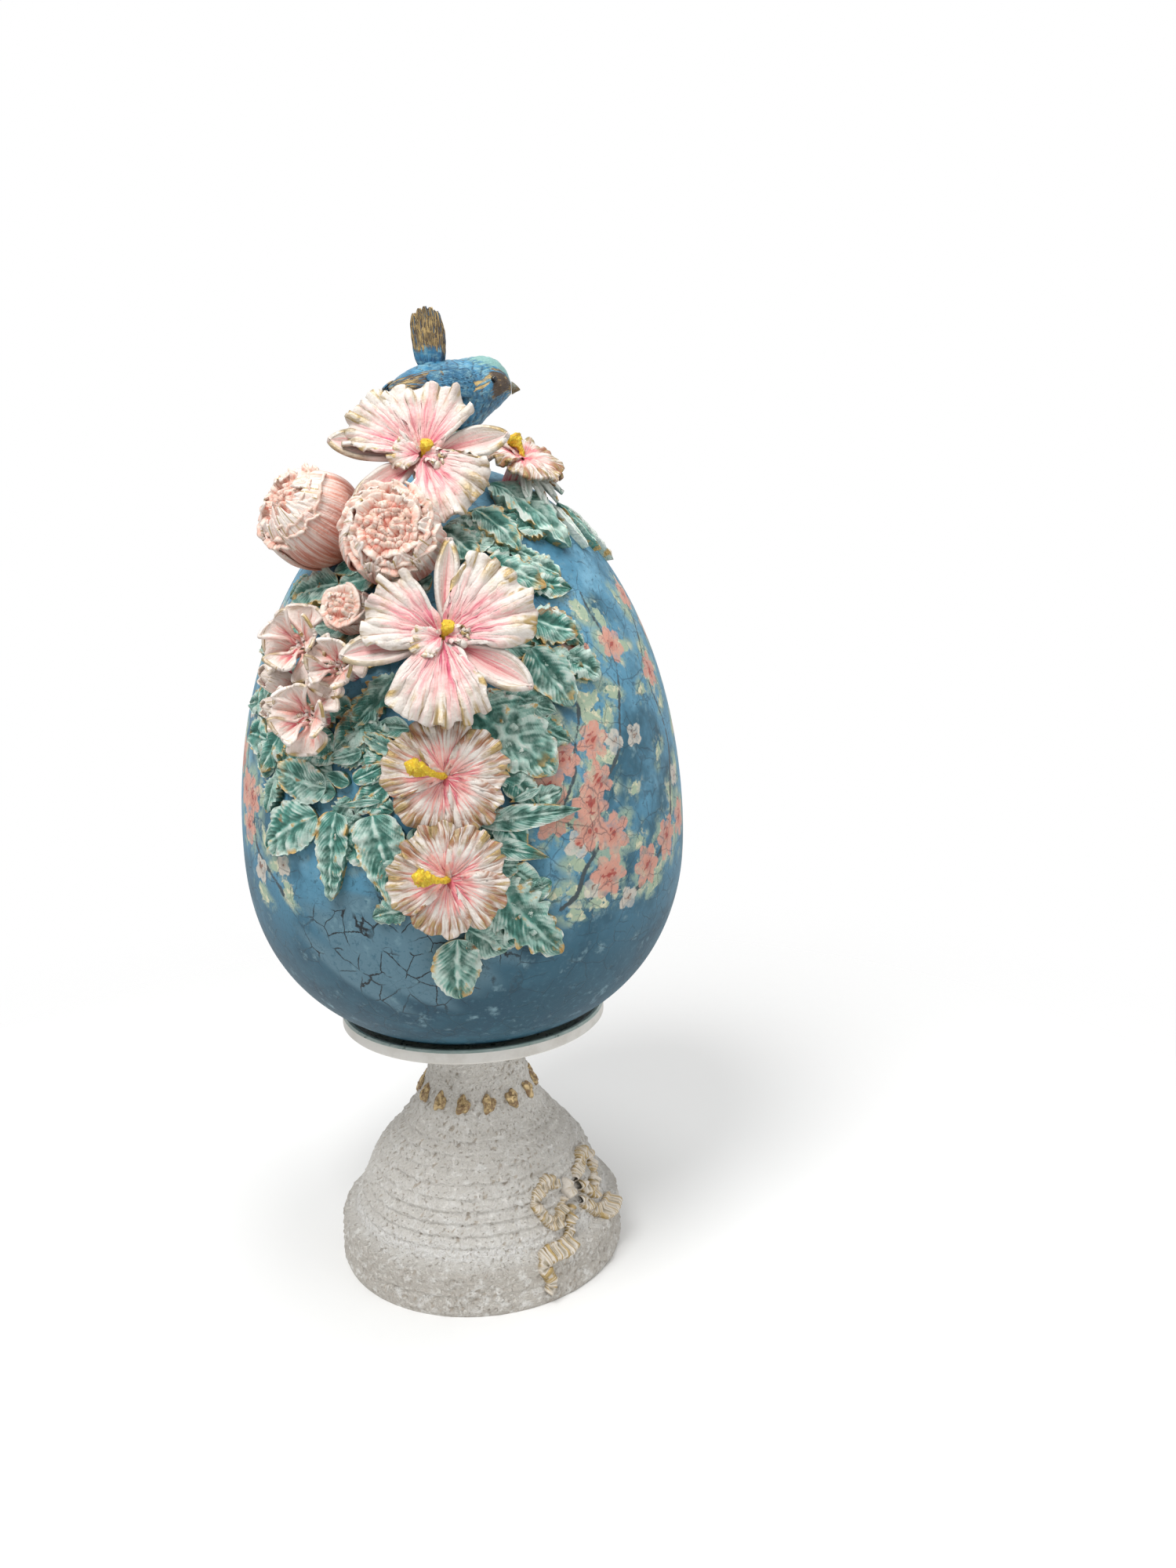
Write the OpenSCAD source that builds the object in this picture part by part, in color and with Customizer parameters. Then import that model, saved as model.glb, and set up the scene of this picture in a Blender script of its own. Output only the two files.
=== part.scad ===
// Ornamental ceramic egg with moulded blossoms, a bird on top and a pedestal with a saucer.
// The egg stands loose in the saucer. The origin is on the axis, on the surface that the foot stands on.
// The front of the egg looks along -Y, and every place on it is an azimuth and a latitude angle.

/* [Egg] */
// Radius of the egg at its widest ring
egg_r = 100; // [85:1:115]
// Height of the egg from its widest ring to its top
egg_top_h = 162; // [140:1:185]
// Height of the egg from its widest ring to its lowest point, before the flat is cut
egg_low_h = 95.4; // [85:1:110]
// How much of the blunt end is cut off flat
egg_flat_h = 3.3; // [2:0.1:5]
// Wall of the egg
egg_wall = 6; // [4:0.5:9]
// Radius of the vent hole in the egg's flat
egg_vent_r = 6; // [3:0.5:10]
// Fullness of the blunt end, where 2 is an ellipse
egg_fullness = 2.3; // [2.1:0.1:2.6]

/* [Foot] */
// Height of the foot, up to the saucer
foot_h = 108; // [90:1:130]
// Largest radius of the foot's rim band
foot_r = 68; // [60:1:76]
// Height of the rim band
foot_band_h = 21.5; // [16:0.5:26]
// Radius of the neck under the saucer
foot_neck_r = 22.5; // [19:0.5:26]
// Wall of the foot
foot_wall = 8; // [6:0.5:10]
// Depth of the throwing ridges
foot_ridge_d = 1; // [0.4:0.1:1.6]
// Number of throwing ridges
foot_ridges = 6; // [3:1:8]
// Radius of the vent hole in the foot's floor
foot_vent_r = 3; // [2:0.5:5]

/* [Saucer] */
// Gap between the egg and the saucer's rim, at the rim's top
saucer_play = 3.8; // [3:0.2:9]
// Height of the saucer's upright rim
saucer_rim_h = 6.2; // [4:0.2:8]
// Depth of the well, from the rim's top to its floor
saucer_well_h = 8.3; // [7:0.1:10]
// Thickness of the saucer's floor
saucer_floor_h = 6.7; // [5:0.1:9]
// Thickness of the saucer's rim
saucer_rim_w = 3; // [2:0.2:4]

/* [Gilt drops] */
// Number of gilt drops round the neck
drop_count = 14; // [8:1:18]
// Width of one drop
drop_w = 6.4; // [4:0.2:8]
// Height of one drop
drop_h = 8; // [5:0.2:10]
// How far a drop stands out
drop_d = 1.5; // [1:0.1:3]

/* [Ribbon bow] */
// Span of the bow, measured round the foot
bow_w = 66; // [50:1:76]
// Height of the bow with its tails
bow_h = 56; // [44:1:60]
// Width of the ribbon
ribbon_w = 5.8; // [4:0.2:7]
// Thickness of the ribbon
ribbon_t = 2; // [1.4:0.1:3]

/* [Orchids] */
// Reach of an orchid's longest sepal
orchid_r = 38; // [32:0.5:42]
// Height of an orchid's heart above the egg
orchid_h = 17; // [13:0.5:20]
// Thickness of a petal
petal_t = 1.5; // [1.2:0.1:2]
// Height of an orchid's column
column_h = 7; // [5:0.5:9]

/* [Hibiscus] */
// Radius of a hibiscus bloom
hibiscus_r = 23; // [19:0.5:26]
// Height of a hibiscus' heart above the egg
hibiscus_h = 9; // [7:0.5:12]
// Length of a hibiscus' stamen
stamen_l = 15; // [10:0.5:18]
// Radius of a stamen
stamen_r = 1.6; // [1.2:0.1:2]

/* [Peonies] */
// Radius of a peony
peony_r = 19.5; // [16:0.5:22]
// Height of a peony from the egg to its rim
peony_h = 35; // [28:0.5:38]
// Radius of the rosebud
rosebud_r = 8.6; // [7:0.2:10]
// Height of the rosebud
rosebud_h = 20; // [16:0.5:24]

/* [Leaves] */
// Length that every leaf is a share of
leaf_l = 34; // [28:0.5:38]
// Width that every leaf is a share of
leaf_w = 20; // [16:0.5:23]
// Thickness of a leaf at its midrib
leaf_t = 2.6; // [2:0.1:3.4]
// Height of one layer of leaves above the next
leaf_layer_h = 3.2; // [3:0.1:4.5]

/* [Bird] */
// Length of the bird from rump to beak
bird_l = 54; // [46:1:60]
// Height of the bird's body
bird_h = 33; // [28:0.5:38]
// Width of the bird's body
bird_w = 29; // [24:0.5:33]
// Height of the perch under the bird
perch_h = 13; // [9:0.5:18]
// Length of the bird's tail
tail_l = 22; // [18:0.5:28]

/* [Hidden] */
// Clearance between the egg and the saucer
seat_gap = 0.3;
// Clearance under what is set on a curved skin
skin_gap = 0.2;
// Clearance between two pieces that are set on each other
joint_gap = 0.15;
// Overrun of every cut
overrun = 1;
// Sides of the round forms
round_fn = 96;

saucer_floor_z = foot_h + saucer_floor_h;
saucer_top_z = saucer_floor_z + saucer_well_h;
egg_base_z = saucer_floor_z + seat_gap;
waist_z = egg_base_z + egg_low_h - egg_flat_h;
egg_top_z = waist_z + egg_top_h;

// Degrees of latitude of one band of the egg's skin
skin_step = 5;
skin_power = 2 / egg_fullness;
flat_lat = -asin(pow(1 - egg_flat_h / egg_low_h, egg_fullness / 2));

// Radius and height of the egg's skin at a latitude angle
function skin_point(lat) =
    lat >= 0
    ? [egg_r * cos(lat), waist_z + egg_top_h * sin(lat)]
    : [egg_r * pow(cos(lat), skin_power), waist_z - egg_low_h * pow(sin(-lat), skin_power)];

// Radius of the egg's blunt end at a height
function egg_r_at(z) =
    egg_r * pow(1 - pow((waist_z - z) / egg_low_h, egg_fullness), 1 / egg_fullness);

saucer_r = egg_r_at(saucer_top_z) + saucer_play + saucer_rim_w;

// A point of the skin on the flat bands between the steps, so that ornaments sit on the banded skin
function skin_at(lat) =
    let(i = floor(lat / skin_step), f = lat / skin_step - i)
    (1 - f) * skin_point(i * skin_step) + f * skin_point((i + 1) * skin_step);

function skin_normal(lat) =
    let(d = skin_point(lat + 1) - skin_point(lat - 1))
    [d.y, -d.x] / norm(d);

// Length of one degree of latitude along the skin
function skin_degree(lat) = norm(skin_point(lat + 1) - skin_point(lat - 1)) / 2;

// A point at an azimuth and a latitude, raised by h along the skin's normal
function on_egg(azimuth, lat, h) =
    let(p = skin_at(lat) + h * skin_normal(lat))
    [p.x * sin(azimuth), -p.x * cos(azimuth), p.y];

// A point x to the right and y up along the skin from a place, raised by h
function egg_at(place, x, y, h) =
    let(middle = place.y + y / skin_degree(place.y) / 2)
    let(lat = place.y + y / skin_degree(middle))
    on_egg(place.x + x / (skin_at(lat).x * PI / 180), lat, h);

// Origin and axes (right, up, out) at a height over a place, tilted to the right and downwards
function frame_at(place, tilt, lift) =
    let(n2 = skin_normal(place.y), a = place.x)
    let(right = [cos(a), sin(a), 0])
    let(out = [n2.x * sin(a), -n2.x * cos(a), n2.y])
    let(up = cross(out, right))
    let(out_d = out * cos(tilt.y) - up * sin(tilt.y), up_d = up * cos(tilt.y) + out * sin(tilt.y))
    let(out_r = out_d * cos(tilt.x) + right * sin(tilt.x), right_r = right * cos(tilt.x) - out_d * sin(tilt.x))
    [on_egg(a, place.y, lift), right_r, up_d, out_r];

function in_frame(f, x, y, z) = f[0] + x * f[1] + y * f[2] + z * f[3];

// How far an angle is past the last multiple of a step, from 0 to 1
function saw(angle, step) = angle / step - floor(angle / step);

// Smallest angle between two directions
function between(a, b) = abs((a - b + 540) % 360 - 180);

// A closed solid through rings of points, counterclockwise as seen from the last ring
module loft(rings) {
    n = len(rings);
    m = len(rings[0]);
    sides = [
        for (i = [0 : n - 2], j = [0 : m - 1])
        let(a = i * m + j, b = i * m + (j + 1) % m)
        each [[a, a + m, b + m], [a, b + m, b]]
    ];
    ends = [
        [for (j = [0 : m - 1]) j],
        [for (j = [m - 1 : -1 : 0]) (n - 1) * m + j]
    ];
    polyhedron(points = [for (r = rings) each r], faces = concat(sides, ends), convexity = 6);
}

// A tube through points, each [position, radius], with m sides
function tube_rings(path, m) = [
    for (i = [0 : len(path) - 1])
    let(before = path[max(i - 1, 0)][0], after = path[min(i + 1, len(path) - 1)][0])
    let(d = (after - before) / norm(after - before))
    let(side = abs(d.z) > abs(d.x) ? [1, 0, 0] : [0, 0, 1])
    let(v = cross(d, side) / norm(cross(d, side)), w = cross(d, v))
    [for (j = [0 : m - 1]) path[i][0] + path[i][1] * (cos(360 * j / m) * v + sin(360 * j / m) * w)]
];

// Foot

// Edge of the rim band, as [share of its height, share of the foot's radius]
band_shares = [[0, 0.985], [0.14, 1], [0.45, 0.998], [0.5, 0.985], [0.55, 0.995], [0.93, 0.985], [1.06, 0.93]];
// Bell of the foot above the band, as [share of the height left, share of the radius past the neck]
bell_shares = [
    [0.07, 0.955], [0.11, 0.915], [0.17, 0.86], [0.257, 0.79], [0.343, 0.73], [0.43, 0.62], [0.514, 0.474],
    [0.6, 0.335], [0.686, 0.24], [0.743, 0.18], [0.8, 0.125], [0.857, 0.07], [0.914, 0.035], [1, 0.005]
];
neck_z_share = 0.87;
neck_flare_share = 1.06;
ridge_start_share = 0.1;
ridge_end_share = 0.62;
ridge_points = 4;
bell_z = foot_band_h * band_shares[len(band_shares) - 1].x;
bell_r = foot_r * band_shares[len(band_shares) - 1].y;
bell_rise = foot_h * neck_z_share - bell_z;

function bell_point(t) =
    [foot_neck_r + (bell_r - foot_neck_r) * lookup(t, concat([[0, 1]], bell_shares)), bell_z + bell_rise * t];

ridge_steps = foot_ridges * ridge_points;
foot_profile = concat(
    [for (p = band_shares) [foot_r * p.y, foot_band_h * p.x]],
    [bell_point(0.055)],
    [
        for (i = [0 : ridge_steps])
        let(t = ridge_start_share + (ridge_end_share - ridge_start_share) * i / ridge_steps)
        bell_point(t) + [foot_ridge_d * (0.5 - cos(360 * i / ridge_points) / 2), 0]
    ],
    [for (p = bell_shares) if (p.x > ridge_end_share) bell_point(p.x)],
    [[foot_neck_r * neck_flare_share, foot_h]]
);
foot_radii = [for (p = foot_profile) [p.y, p.x]];
foot_floor_h = foot_wall * 0.75;
foot_hollow_step = 12;
foot_hollow_top = foot_h * 0.76;
foot_vent_x = foot_r * 0.45;

function foot_r_at(z) = lookup(z, foot_radii);

// A point on the foot, at an azimuth and a height, raised by h
function on_foot(azimuth, z, h) =
    let(d = [foot_r_at(z + 1) - foot_r_at(z - 1), 2], n = [d.y, -d.x] / norm(d))
    let(p = [foot_r_at(z), z] + h * n)
    [p.x * sin(azimuth), -p.x * cos(azimuth), p.y];

module pedestal_foot() {
    color("#d9d2c8")
    difference() {
        rotate_extrude($fn = round_fn)
            polygon(concat([[0, 0]], foot_profile, [[0, foot_h]]));
        rotate_extrude($fn = round_fn)
            polygon(concat(
                [[0, foot_floor_h]],
                [
                    for (z = [foot_floor_h : foot_hollow_step : foot_hollow_top])
                    [foot_r_at(z) - foot_wall, z]
                ],
                [[0, foot_hollow_top]]
            ));
        translate([foot_vent_x, 0, -overrun])
            cylinder(h = foot_floor_h + 2 * overrun, r = foot_vent_r, $fn = round_fn);
    }
}

// Gilt drops on the neck

drop_z = foot_h * 0.75;
drop_sides = 6;
drop_turn = 11;
// Rings of a drop, as [share of its size, share of its height]
drop_shares = [[1, 0], [0.85, 0.7], [0.3, 1]];

module gilt_drops() {
    color("#b9985c")
    for (k = [0 : drop_count - 1]) {
        middle = drop_turn + 360 * k / drop_count;
        loft([
            for (s = drop_shares)
            [
                for (j = [0 : drop_sides - 1])
                let(a = 360 * j / drop_sides, pinch = j % 2 == 0 ? 1 : 0.72)
                let(z = drop_z + drop_h / 2 * s.x * pinch * sin(a))
                let(turn = drop_w / 2 * s.x * pinch * cos(a) / (foot_r_at(z) * PI / 180))
                on_foot(middle + turn, z, skin_gap + drop_d * s.y)
            ]
        ]);
    }
}

// Ribbon bow on the foot

knot_azimuth = 48;
knot_z = foot_h * 0.38;
knot_w = ribbon_w * 1.5;
ribbon_lift = skin_gap + foot_ridge_d * 0.85;
// Runs of the ribbon from the knot, as shares of the bow's span and height
left_loop_shares = [[-0.1, 0.08], [-0.2, 0.12], [-0.3, 0.09], [-0.38, 0], [-0.34, -0.07], [-0.29, -0.15],
    [-0.23, -0.17], [-0.15, -0.12], [-0.09, -0.04]];
right_loop_shares = [[0.11, 0.03], [0.21, 0.07], [0.32, 0.11], [0.46, 0.11], [0.56, 0.02], [0.49, -0.04],
    [0.41, -0.11], [0.33, -0.17], [0.22, -0.08], [0.12, -0.02]];
left_tail_shares = [[-0.03, -0.12], [-0.09, -0.2], [-0.14, -0.3], [-0.23, -0.35], [-0.36, -0.35],
    [-0.44, -0.4], [-0.4, -0.49], [-0.39, -0.56], [-0.42, -0.62]];
right_tail_shares = [[0.08, -0.12], [0.16, -0.2], [0.24, -0.29], [0.34, -0.33], [0.55, -0.34]];
run_steps = 2;

function cubic(a, b, c, d, t) =
    0.5 * (2 * b + (c - a) * t + (2 * a - 5 * b + 4 * c - d) * t * t + (3 * b - a - 3 * c + d) * t * t * t);

// A smooth line through points, with run_steps steps from each to the next
function smooth(p) = [
    for (i = [0 : (len(p) - 1) * run_steps])
    let(k = min(floor(i / run_steps), len(p) - 2), t = i / run_steps - k)
    cubic(p[max(k - 1, 0)], p[k], p[k + 1], p[min(k + 2, len(p) - 1)], t)
];

// A point of the bow, x round the foot and y up from the knot
function on_bow(x, y, h) = on_foot(knot_azimuth + x / (foot_r * PI / 180), knot_z + y, h);

// Half widths across a pleated ribbon, as [share of its width, share of its thickness]
ribbon_shares = [[-0.5, 0], [-0.5, 0.55], [-0.1, 1], [0.5, 0.6], [0.5, 0], [0, 0]];

module ribbon_run(shares) {
    line = smooth([for (p = shares) [p.x * bow_w, p.y * bow_h]]);
    n = len(line);
    loft([
        for (i = [0 : n - 1])
        let(d = line[min(i + 1, n - 1)] - line[max(i - 1, 0)], u = d / norm(d))
        let(pleat = i % 2 == 0 ? 1 : 0.78, w = ribbon_w * (i == 0 || i == n - 1 ? 0.6 : pleat))
        [
            for (s = ribbon_shares)
            on_bow(line[i].x + s.x * w * u.y, line[i].y - s.x * w * u.x, ribbon_lift + ribbon_t * s.y * pleat)
        ]
    ]);
}

// Rings of the knot, as [share of its size, share of its thickness]
knot_shares = [[0.4, 0], [0.95, 0], [1, 0.8], [0.55, 1.5]];

module ribbon_bow() {
    color("#cbb489") {
        ribbon_run(left_loop_shares);
        ribbon_run(right_loop_shares);
        ribbon_run(left_tail_shares);
        ribbon_run(right_tail_shares);
        loft([
            for (s = knot_shares)
            [
                for (j = [0 : drop_sides - 1])
                let(a = 360 * j / drop_sides)
                on_bow(knot_w / 2 * s.x * cos(a), knot_w / 2 * s.x * sin(a), ribbon_lift + ribbon_t * s.y)
            ]
        ]);
    }
}

// Saucer

saucer_seat_r = foot_neck_r * 1.2;
saucer_well_r = egg_r_at(saucer_floor_z + saucer_well_h * 0.35) + saucer_play * 1.25;
saucer_round = saucer_rim_w * 0.3;

module saucer() {
    color("#dcd9d2")
    rotate_extrude($fn = round_fn)
        polygon([
            [0, foot_h],
            [saucer_seat_r, foot_h],
            [saucer_seat_r + saucer_round, foot_h + saucer_round],
            [saucer_r - saucer_rim_w, saucer_top_z - saucer_rim_h - saucer_round],
            [saucer_r - saucer_round, saucer_top_z - saucer_rim_h],
            [saucer_r, saucer_top_z - saucer_rim_h + saucer_round],
            [saucer_r, saucer_top_z - saucer_round],
            [saucer_r - saucer_round, saucer_top_z],
            [saucer_r - saucer_rim_w + saucer_round, saucer_top_z],
            [saucer_r - saucer_rim_w, saucer_top_z - saucer_round],
            [saucer_well_r + saucer_rim_w, saucer_floor_z + saucer_round],
            [saucer_well_r, saucer_floor_z],
            [0, saucer_floor_z]
        ]);
}

// Egg shell

hollow_step = 15;
hollow_top_z = egg_top_z - egg_wall;
hollow_base_z = egg_base_z + egg_wall;

function hollow_point(lat) =
    let(p = skin_point(lat), n = skin_normal(lat))
    [max(p.x - egg_wall * n.x, 0), p.y - egg_wall * n.y];

module egg_shell() {
    lowest = ceil(flat_lat / skin_step) * skin_step;
    color("#3f7f9f")
    difference() {
        rotate_extrude($fn = round_fn)
            polygon(concat(
                [[0, egg_base_z], [skin_point(flat_lat).x, egg_base_z]],
                [for (lat = [lowest : skin_step : 90 - skin_step]) skin_point(lat)],
                [[0, egg_top_z]]
            ));
        rotate_extrude($fn = round_fn)
            polygon(concat(
                [[0, hollow_base_z], [skin_point(flat_lat).x - egg_wall / 2, hollow_base_z]],
                [for (lat = [-60 : hollow_step : 75]) hollow_point(lat)],
                [[0, hollow_top_z]]
            ));
        translate([0, 0, egg_base_z - overrun])
            cylinder(h = egg_wall + 2 * overrun, r = egg_vent_r, $fn = round_fn);
    }
}

// Blooms

// Rings of a bloom under and on top of its petals, as shares of the petals' reach
under_shares = [0.5, 0.96];
top_shares = [1, 0.74, 0.42, 0.14];
// Radius of the stalk that carries a bloom
stalk_r = petal_t * 3;

// A bloom whose heart is at height lift over a place: edge(a) is its petals' reach at angle a, and
// sheet(s, a) the height of their top over the heart at a share s of it. Its stalk starts on the egg's
// skin, or at the height root_z of the bloom's own frame.
module bloom(place, lift, tilt, turn, hub_r, sides, edge, sheet, root_z = undef) {
    f = frame_at(place, tilt, lift);
    angles = [for (j = [0 : sides - 1]) 360 * j / sides];
    loft(concat(
        [
            [
                for (a = angles)
                let(x = hub_r * cos(a + turn), y = hub_r * sin(a + turn))
                is_undef(root_z) ? egg_at(place, x, y, skin_gap) : in_frame(f, x, y, root_z)
            ],
            [
                for (a = angles)
                in_frame(f, hub_r * cos(a + turn), hub_r * sin(a + turn), sheet(top_shares[3], a) - petal_t)
            ]
        ],
        [
            for (s = under_shares)
            [
                for (a = angles)
                let(r = max(edge(a) * s, hub_r))
                in_frame(f, r * cos(a + turn), r * sin(a + turn), sheet(s, a) - petal_t)
            ]
        ],
        [
            for (s = top_shares)
            [
                for (a = angles)
                let(r = edge(a) * s)
                in_frame(f, r * cos(a + turn), r * sin(a + turn), sheet(s, a))
            ]
        ]
    ));
}

// Orchids

// Petals as [direction, half angle, share of the orchid's reach]
middle_sepal_shares = [[83, 24, 1], [187, 34, 1.02], [324, 36, 1]];
middle_petal_shares = [[149, 44, 0.8], [29, 48, 0.94], [262, 48, 0.9]];
top_sepal_shares = [[12, 34, 0.92], [168, 34, 0.99], [216, 34, 0.9]];
top_petal_shares = [[80, 54, 0.76], [306, 54, 0.76], [148, 34, 0.84]];
orchid_core_share = 0.3;
orchid_turn = 3;
sepal_sides = 30;
petal_sides = 50;
orchid_ruffles = 12;
ruffle_h = petal_t * 0.9;

middle_orchid_place = [-2.3, 33.3];
middle_orchid_tilt = [2, 3];
middle_orchid_lift = orchid_h * 0.72;
top_orchid_place = [-10, 64];
top_orchid_tilt = [6, 32];
top_orchid_lift = orchid_h * 1.14;

function pointed_reach(a, petals) =
    orchid_r * max(concat([orchid_core_share], [
        for (p = petals)
        let(t = min(between(a, p[0]) / p[1], 1))
        p[2] * pow(1 - t, 0.62)
    ]));

function round_reach(a, petals) =
    orchid_r * max(concat([orchid_core_share], [
        for (p = petals)
        let(t = min(between(a, p[0]) / p[1], 1))
        p[2] * pow(1 - pow(t, 2.6), 0.55) * (1 + 0.05 * sin(orchid_ruffles * a))
    ]));

// Sepals rise a little at their edges and bend back at their tips
module orchid_sepals(place, lift, tilt, petals) {
    color("#efdcd4")
    bloom(
        place, lift, tilt, orchid_turn, stalk_r, sepal_sides,
        function(a) pointed_reach(a, petals),
        function(s, a)
            let(t = min([for (p = petals) between(a, p[0]) / p[1]]))
            petal_t * (0.9 * min(t, 1) * s * (1 - s) - 1.6 * s * s)
    );
}

petals_rise = petal_t * 1.5;

module orchid_petals(place, lift, tilt, petals) {
    color("#f3c9c4")
    bloom(
        place, lift, tilt, orchid_turn, stalk_r * 0.6, petal_sides,
        function(a) round_reach(a, petals),
        function(s, a)
            petals_rise + petal_t * (2.8 * s - 1.4 * s * s * s)
            + ruffle_h * s * s * sin(orchid_ruffles * a + 90),
        joint_gap
    );
}

// Rings of a column, as [share of a stamen's radius, share of its height]
column_shares = [[1, 0], [1.05, 0.35], [1.5, 0.7], [1.35, 0.9], [0.6, 1]];
column_sides = 8;

module orchid_column(place, lift, tilt) {
    f = frame_at(place, tilt, lift);
    base = petals_rise + petal_t * 2.8 * top_shares[3] + ruffle_h * 0.1 + joint_gap;
    lean = column_h * 0.5;
    color("#ecc92e")
    loft([
        for (s = column_shares)
        [
            for (j = [0 : column_sides - 1])
            let(a = 360 * j / column_sides, r = stamen_r * s.x)
            in_frame(f, r * cos(a) + lean * s.y * 0.6, r * sin(a) + lean * s.y, base + column_h * s.y)
        ]
    ]);
}

module middle_orchid_sepals() {
    orchid_sepals(middle_orchid_place, middle_orchid_lift, middle_orchid_tilt, middle_sepal_shares);
}

module middle_orchid_petals() {
    orchid_petals(middle_orchid_place, middle_orchid_lift, middle_orchid_tilt, middle_petal_shares);
}

module middle_orchid_column() {
    orchid_column(middle_orchid_place, middle_orchid_lift, middle_orchid_tilt);
}

module top_orchid_sepals() {
    orchid_sepals(top_orchid_place, top_orchid_lift, top_orchid_tilt, top_sepal_shares);
}

module top_orchid_petals() {
    orchid_petals(top_orchid_place, top_orchid_lift, top_orchid_tilt, top_petal_shares);
}

module top_orchid_column() {
    orchid_column(top_orchid_place, top_orchid_lift, top_orchid_tilt);
}

// Hibiscus and the small cupped blooms

// Overlapping petals with a notch between each two, each petal's edge lying over the next one's
module petalled_bloom(place, lift, tilt, turn, r, petals, cup, tint, sides) {
    step = 360 / petals;
    color(tint)
    bloom(
        place, lift, tilt, turn, min(stalk_r, r * 0.28), sides,
        function(a) r * (1 - 0.16 * pow(abs(cos(petals * a / 2)), 6) + 0.03 * sin(petals * 4 * a)),
        function(s, a)
            cup * (pow(s, 0.8) - 0.5 * pow(s, 4))
            + petal_t * 0.8 * (saw(a, step) - 0.5) * min(2 * s, 1)
            + ruffle_h * 0.5 * s * s * sin(petals * 3 * a)
    );
}

// A stamen that leans the way that its tip points, as [share along, share up, share of its radius]
stamen_shares = [[0.02, 0.14, 1.1], [0.12, 0.34, 1], [0.36, 0.48, 0.9], [0.6, 0.58, 1.2], [0.84, 0.66, 1.5],
    [1, 0.7, 0.8]];
stamen_sides = 6;

module bloom_stamen(place, lift, tilt, length, toward) {
    f = frame_at(place, tilt, lift);
    base = petal_t * 0.6 + joint_gap;
    path = [
        for (s = stamen_shares)
        [
            in_frame(f, length * s.x * cos(toward), length * s.x * sin(toward), base + length * s.y),
            stamen_r * s.z
        ]
    ];
    foot = [in_frame(f, 0, 0, base), stamen_r];
    color("#f0cf2c")
    loft(tube_rings(concat([foot], path), stamen_sides));
}

hibiscus_petals = 5;
hibiscus_cup = hibiscus_h * 0.36;
hibiscus_sides = 40;
hibiscus_turn = 20;
upper_hibiscus_place = [-3, 15.2];
upper_hibiscus_tilt = [0, 4];
upper_hibiscus_lift = hibiscus_h * 0.78;
lower_hibiscus_place = [-3, 2];
lower_hibiscus_tilt = [3, -2];
lower_hibiscus_lift = hibiscus_h * 1.1;
back_hibiscus_place = [48, 70];
back_hibiscus_tilt = [-6, 4];
back_hibiscus_lift = hibiscus_h * 1.2;
back_hibiscus_share = 0.76;

module upper_hibiscus() {
    petalled_bloom(upper_hibiscus_place, upper_hibiscus_lift, upper_hibiscus_tilt, hibiscus_turn,
        hibiscus_r, hibiscus_petals, hibiscus_cup, "#f1d5cc", hibiscus_sides);
}

module upper_hibiscus_stamen() {
    bloom_stamen(upper_hibiscus_place, upper_hibiscus_lift, upper_hibiscus_tilt, stamen_l, 156);
}

module lower_hibiscus() {
    petalled_bloom(lower_hibiscus_place, lower_hibiscus_lift, lower_hibiscus_tilt, hibiscus_turn * 2,
        hibiscus_r * 0.96, hibiscus_petals, hibiscus_cup, "#efc9c0", hibiscus_sides);
}

module lower_hibiscus_stamen() {
    bloom_stamen(lower_hibiscus_place, lower_hibiscus_lift, lower_hibiscus_tilt, stamen_l * 0.9, 164);
}

module back_hibiscus() {
    petalled_bloom(back_hibiscus_place, back_hibiscus_lift, back_hibiscus_tilt, hibiscus_turn,
        hibiscus_r * back_hibiscus_share, hibiscus_petals, hibiscus_cup, "#f3dcd0", hibiscus_sides * 3 / 4);
}

module back_hibiscus_stamen() {
    bloom_stamen(back_hibiscus_place, back_hibiscus_lift, back_hibiscus_tilt, stamen_l * 0.6, 100);
}

// Small cupped blooms of the cluster at the left
small_petals = 6;
small_sides = 18;
small_bloom_r = hibiscus_r * 0.55;
small_bloom_lift = hibiscus_h * 0.7;
small_bloom_cup = hibiscus_h * 0.8;

module cluster_bloom_upper() {
    petalled_bloom([-39.5, 32.8], small_bloom_lift, [12, 4], 15, small_bloom_r, small_petals,
        small_bloom_cup, "#f2d3c6", small_sides);
}

module cluster_bloom_right() {
    petalled_bloom([-27, 29.8], small_bloom_lift * 1.1, [10, 6], 40, small_bloom_r * 0.8, small_petals,
        small_bloom_cup * 0.8, "#eebfb4", small_sides);
}

module cluster_bloom_lower() {
    petalled_bloom([-33.2, 22.8], small_bloom_lift * 1.2, [12, 2], 5, small_bloom_r * 0.96, small_petals,
        small_bloom_cup * 0.8, "#e9aeb0", small_sides);
}

// Peonies, rosebud and ball buds

// Rings of a full peony, as [share of its radius, share of its height, ruffle], from the stalk to the heart
peony_shares = [
    [0.62, 0.14, 0], [0.9, 0.3, 0.3], [1, 0.52, 0.6], [0.96, 0.76, 0.8], [0.8, 0.96, 1], [0.7, 0.9, 0.8],
    [0.6, 0.8, 0.5], [0.5, 0.94, 1], [0.4, 0.82, 0.6], [0.28, 0.96, 1], [0.16, 0.84, 0.5], [0.07, 0.93, 0]
];
bud_shares = [[0.74, 0.2, 0], [1, 0.48, 0.4], [0.88, 0.8, 0.8], [0.6, 1, 1], [0.42, 0.88, 0.6], [0.2, 1, 0.5],
    [0.08, 0.92, 0]];
ball_shares = [[0.8, 0.2, 0], [1, 0.52, 0], [0.78, 0.86, 0], [0.3, 1, 0]];
petal_overlap_share = 0.07;
crest_share = 0.035;
bud_stalk_share = 0.26;
bud_pivot_share = 0.5;

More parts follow.
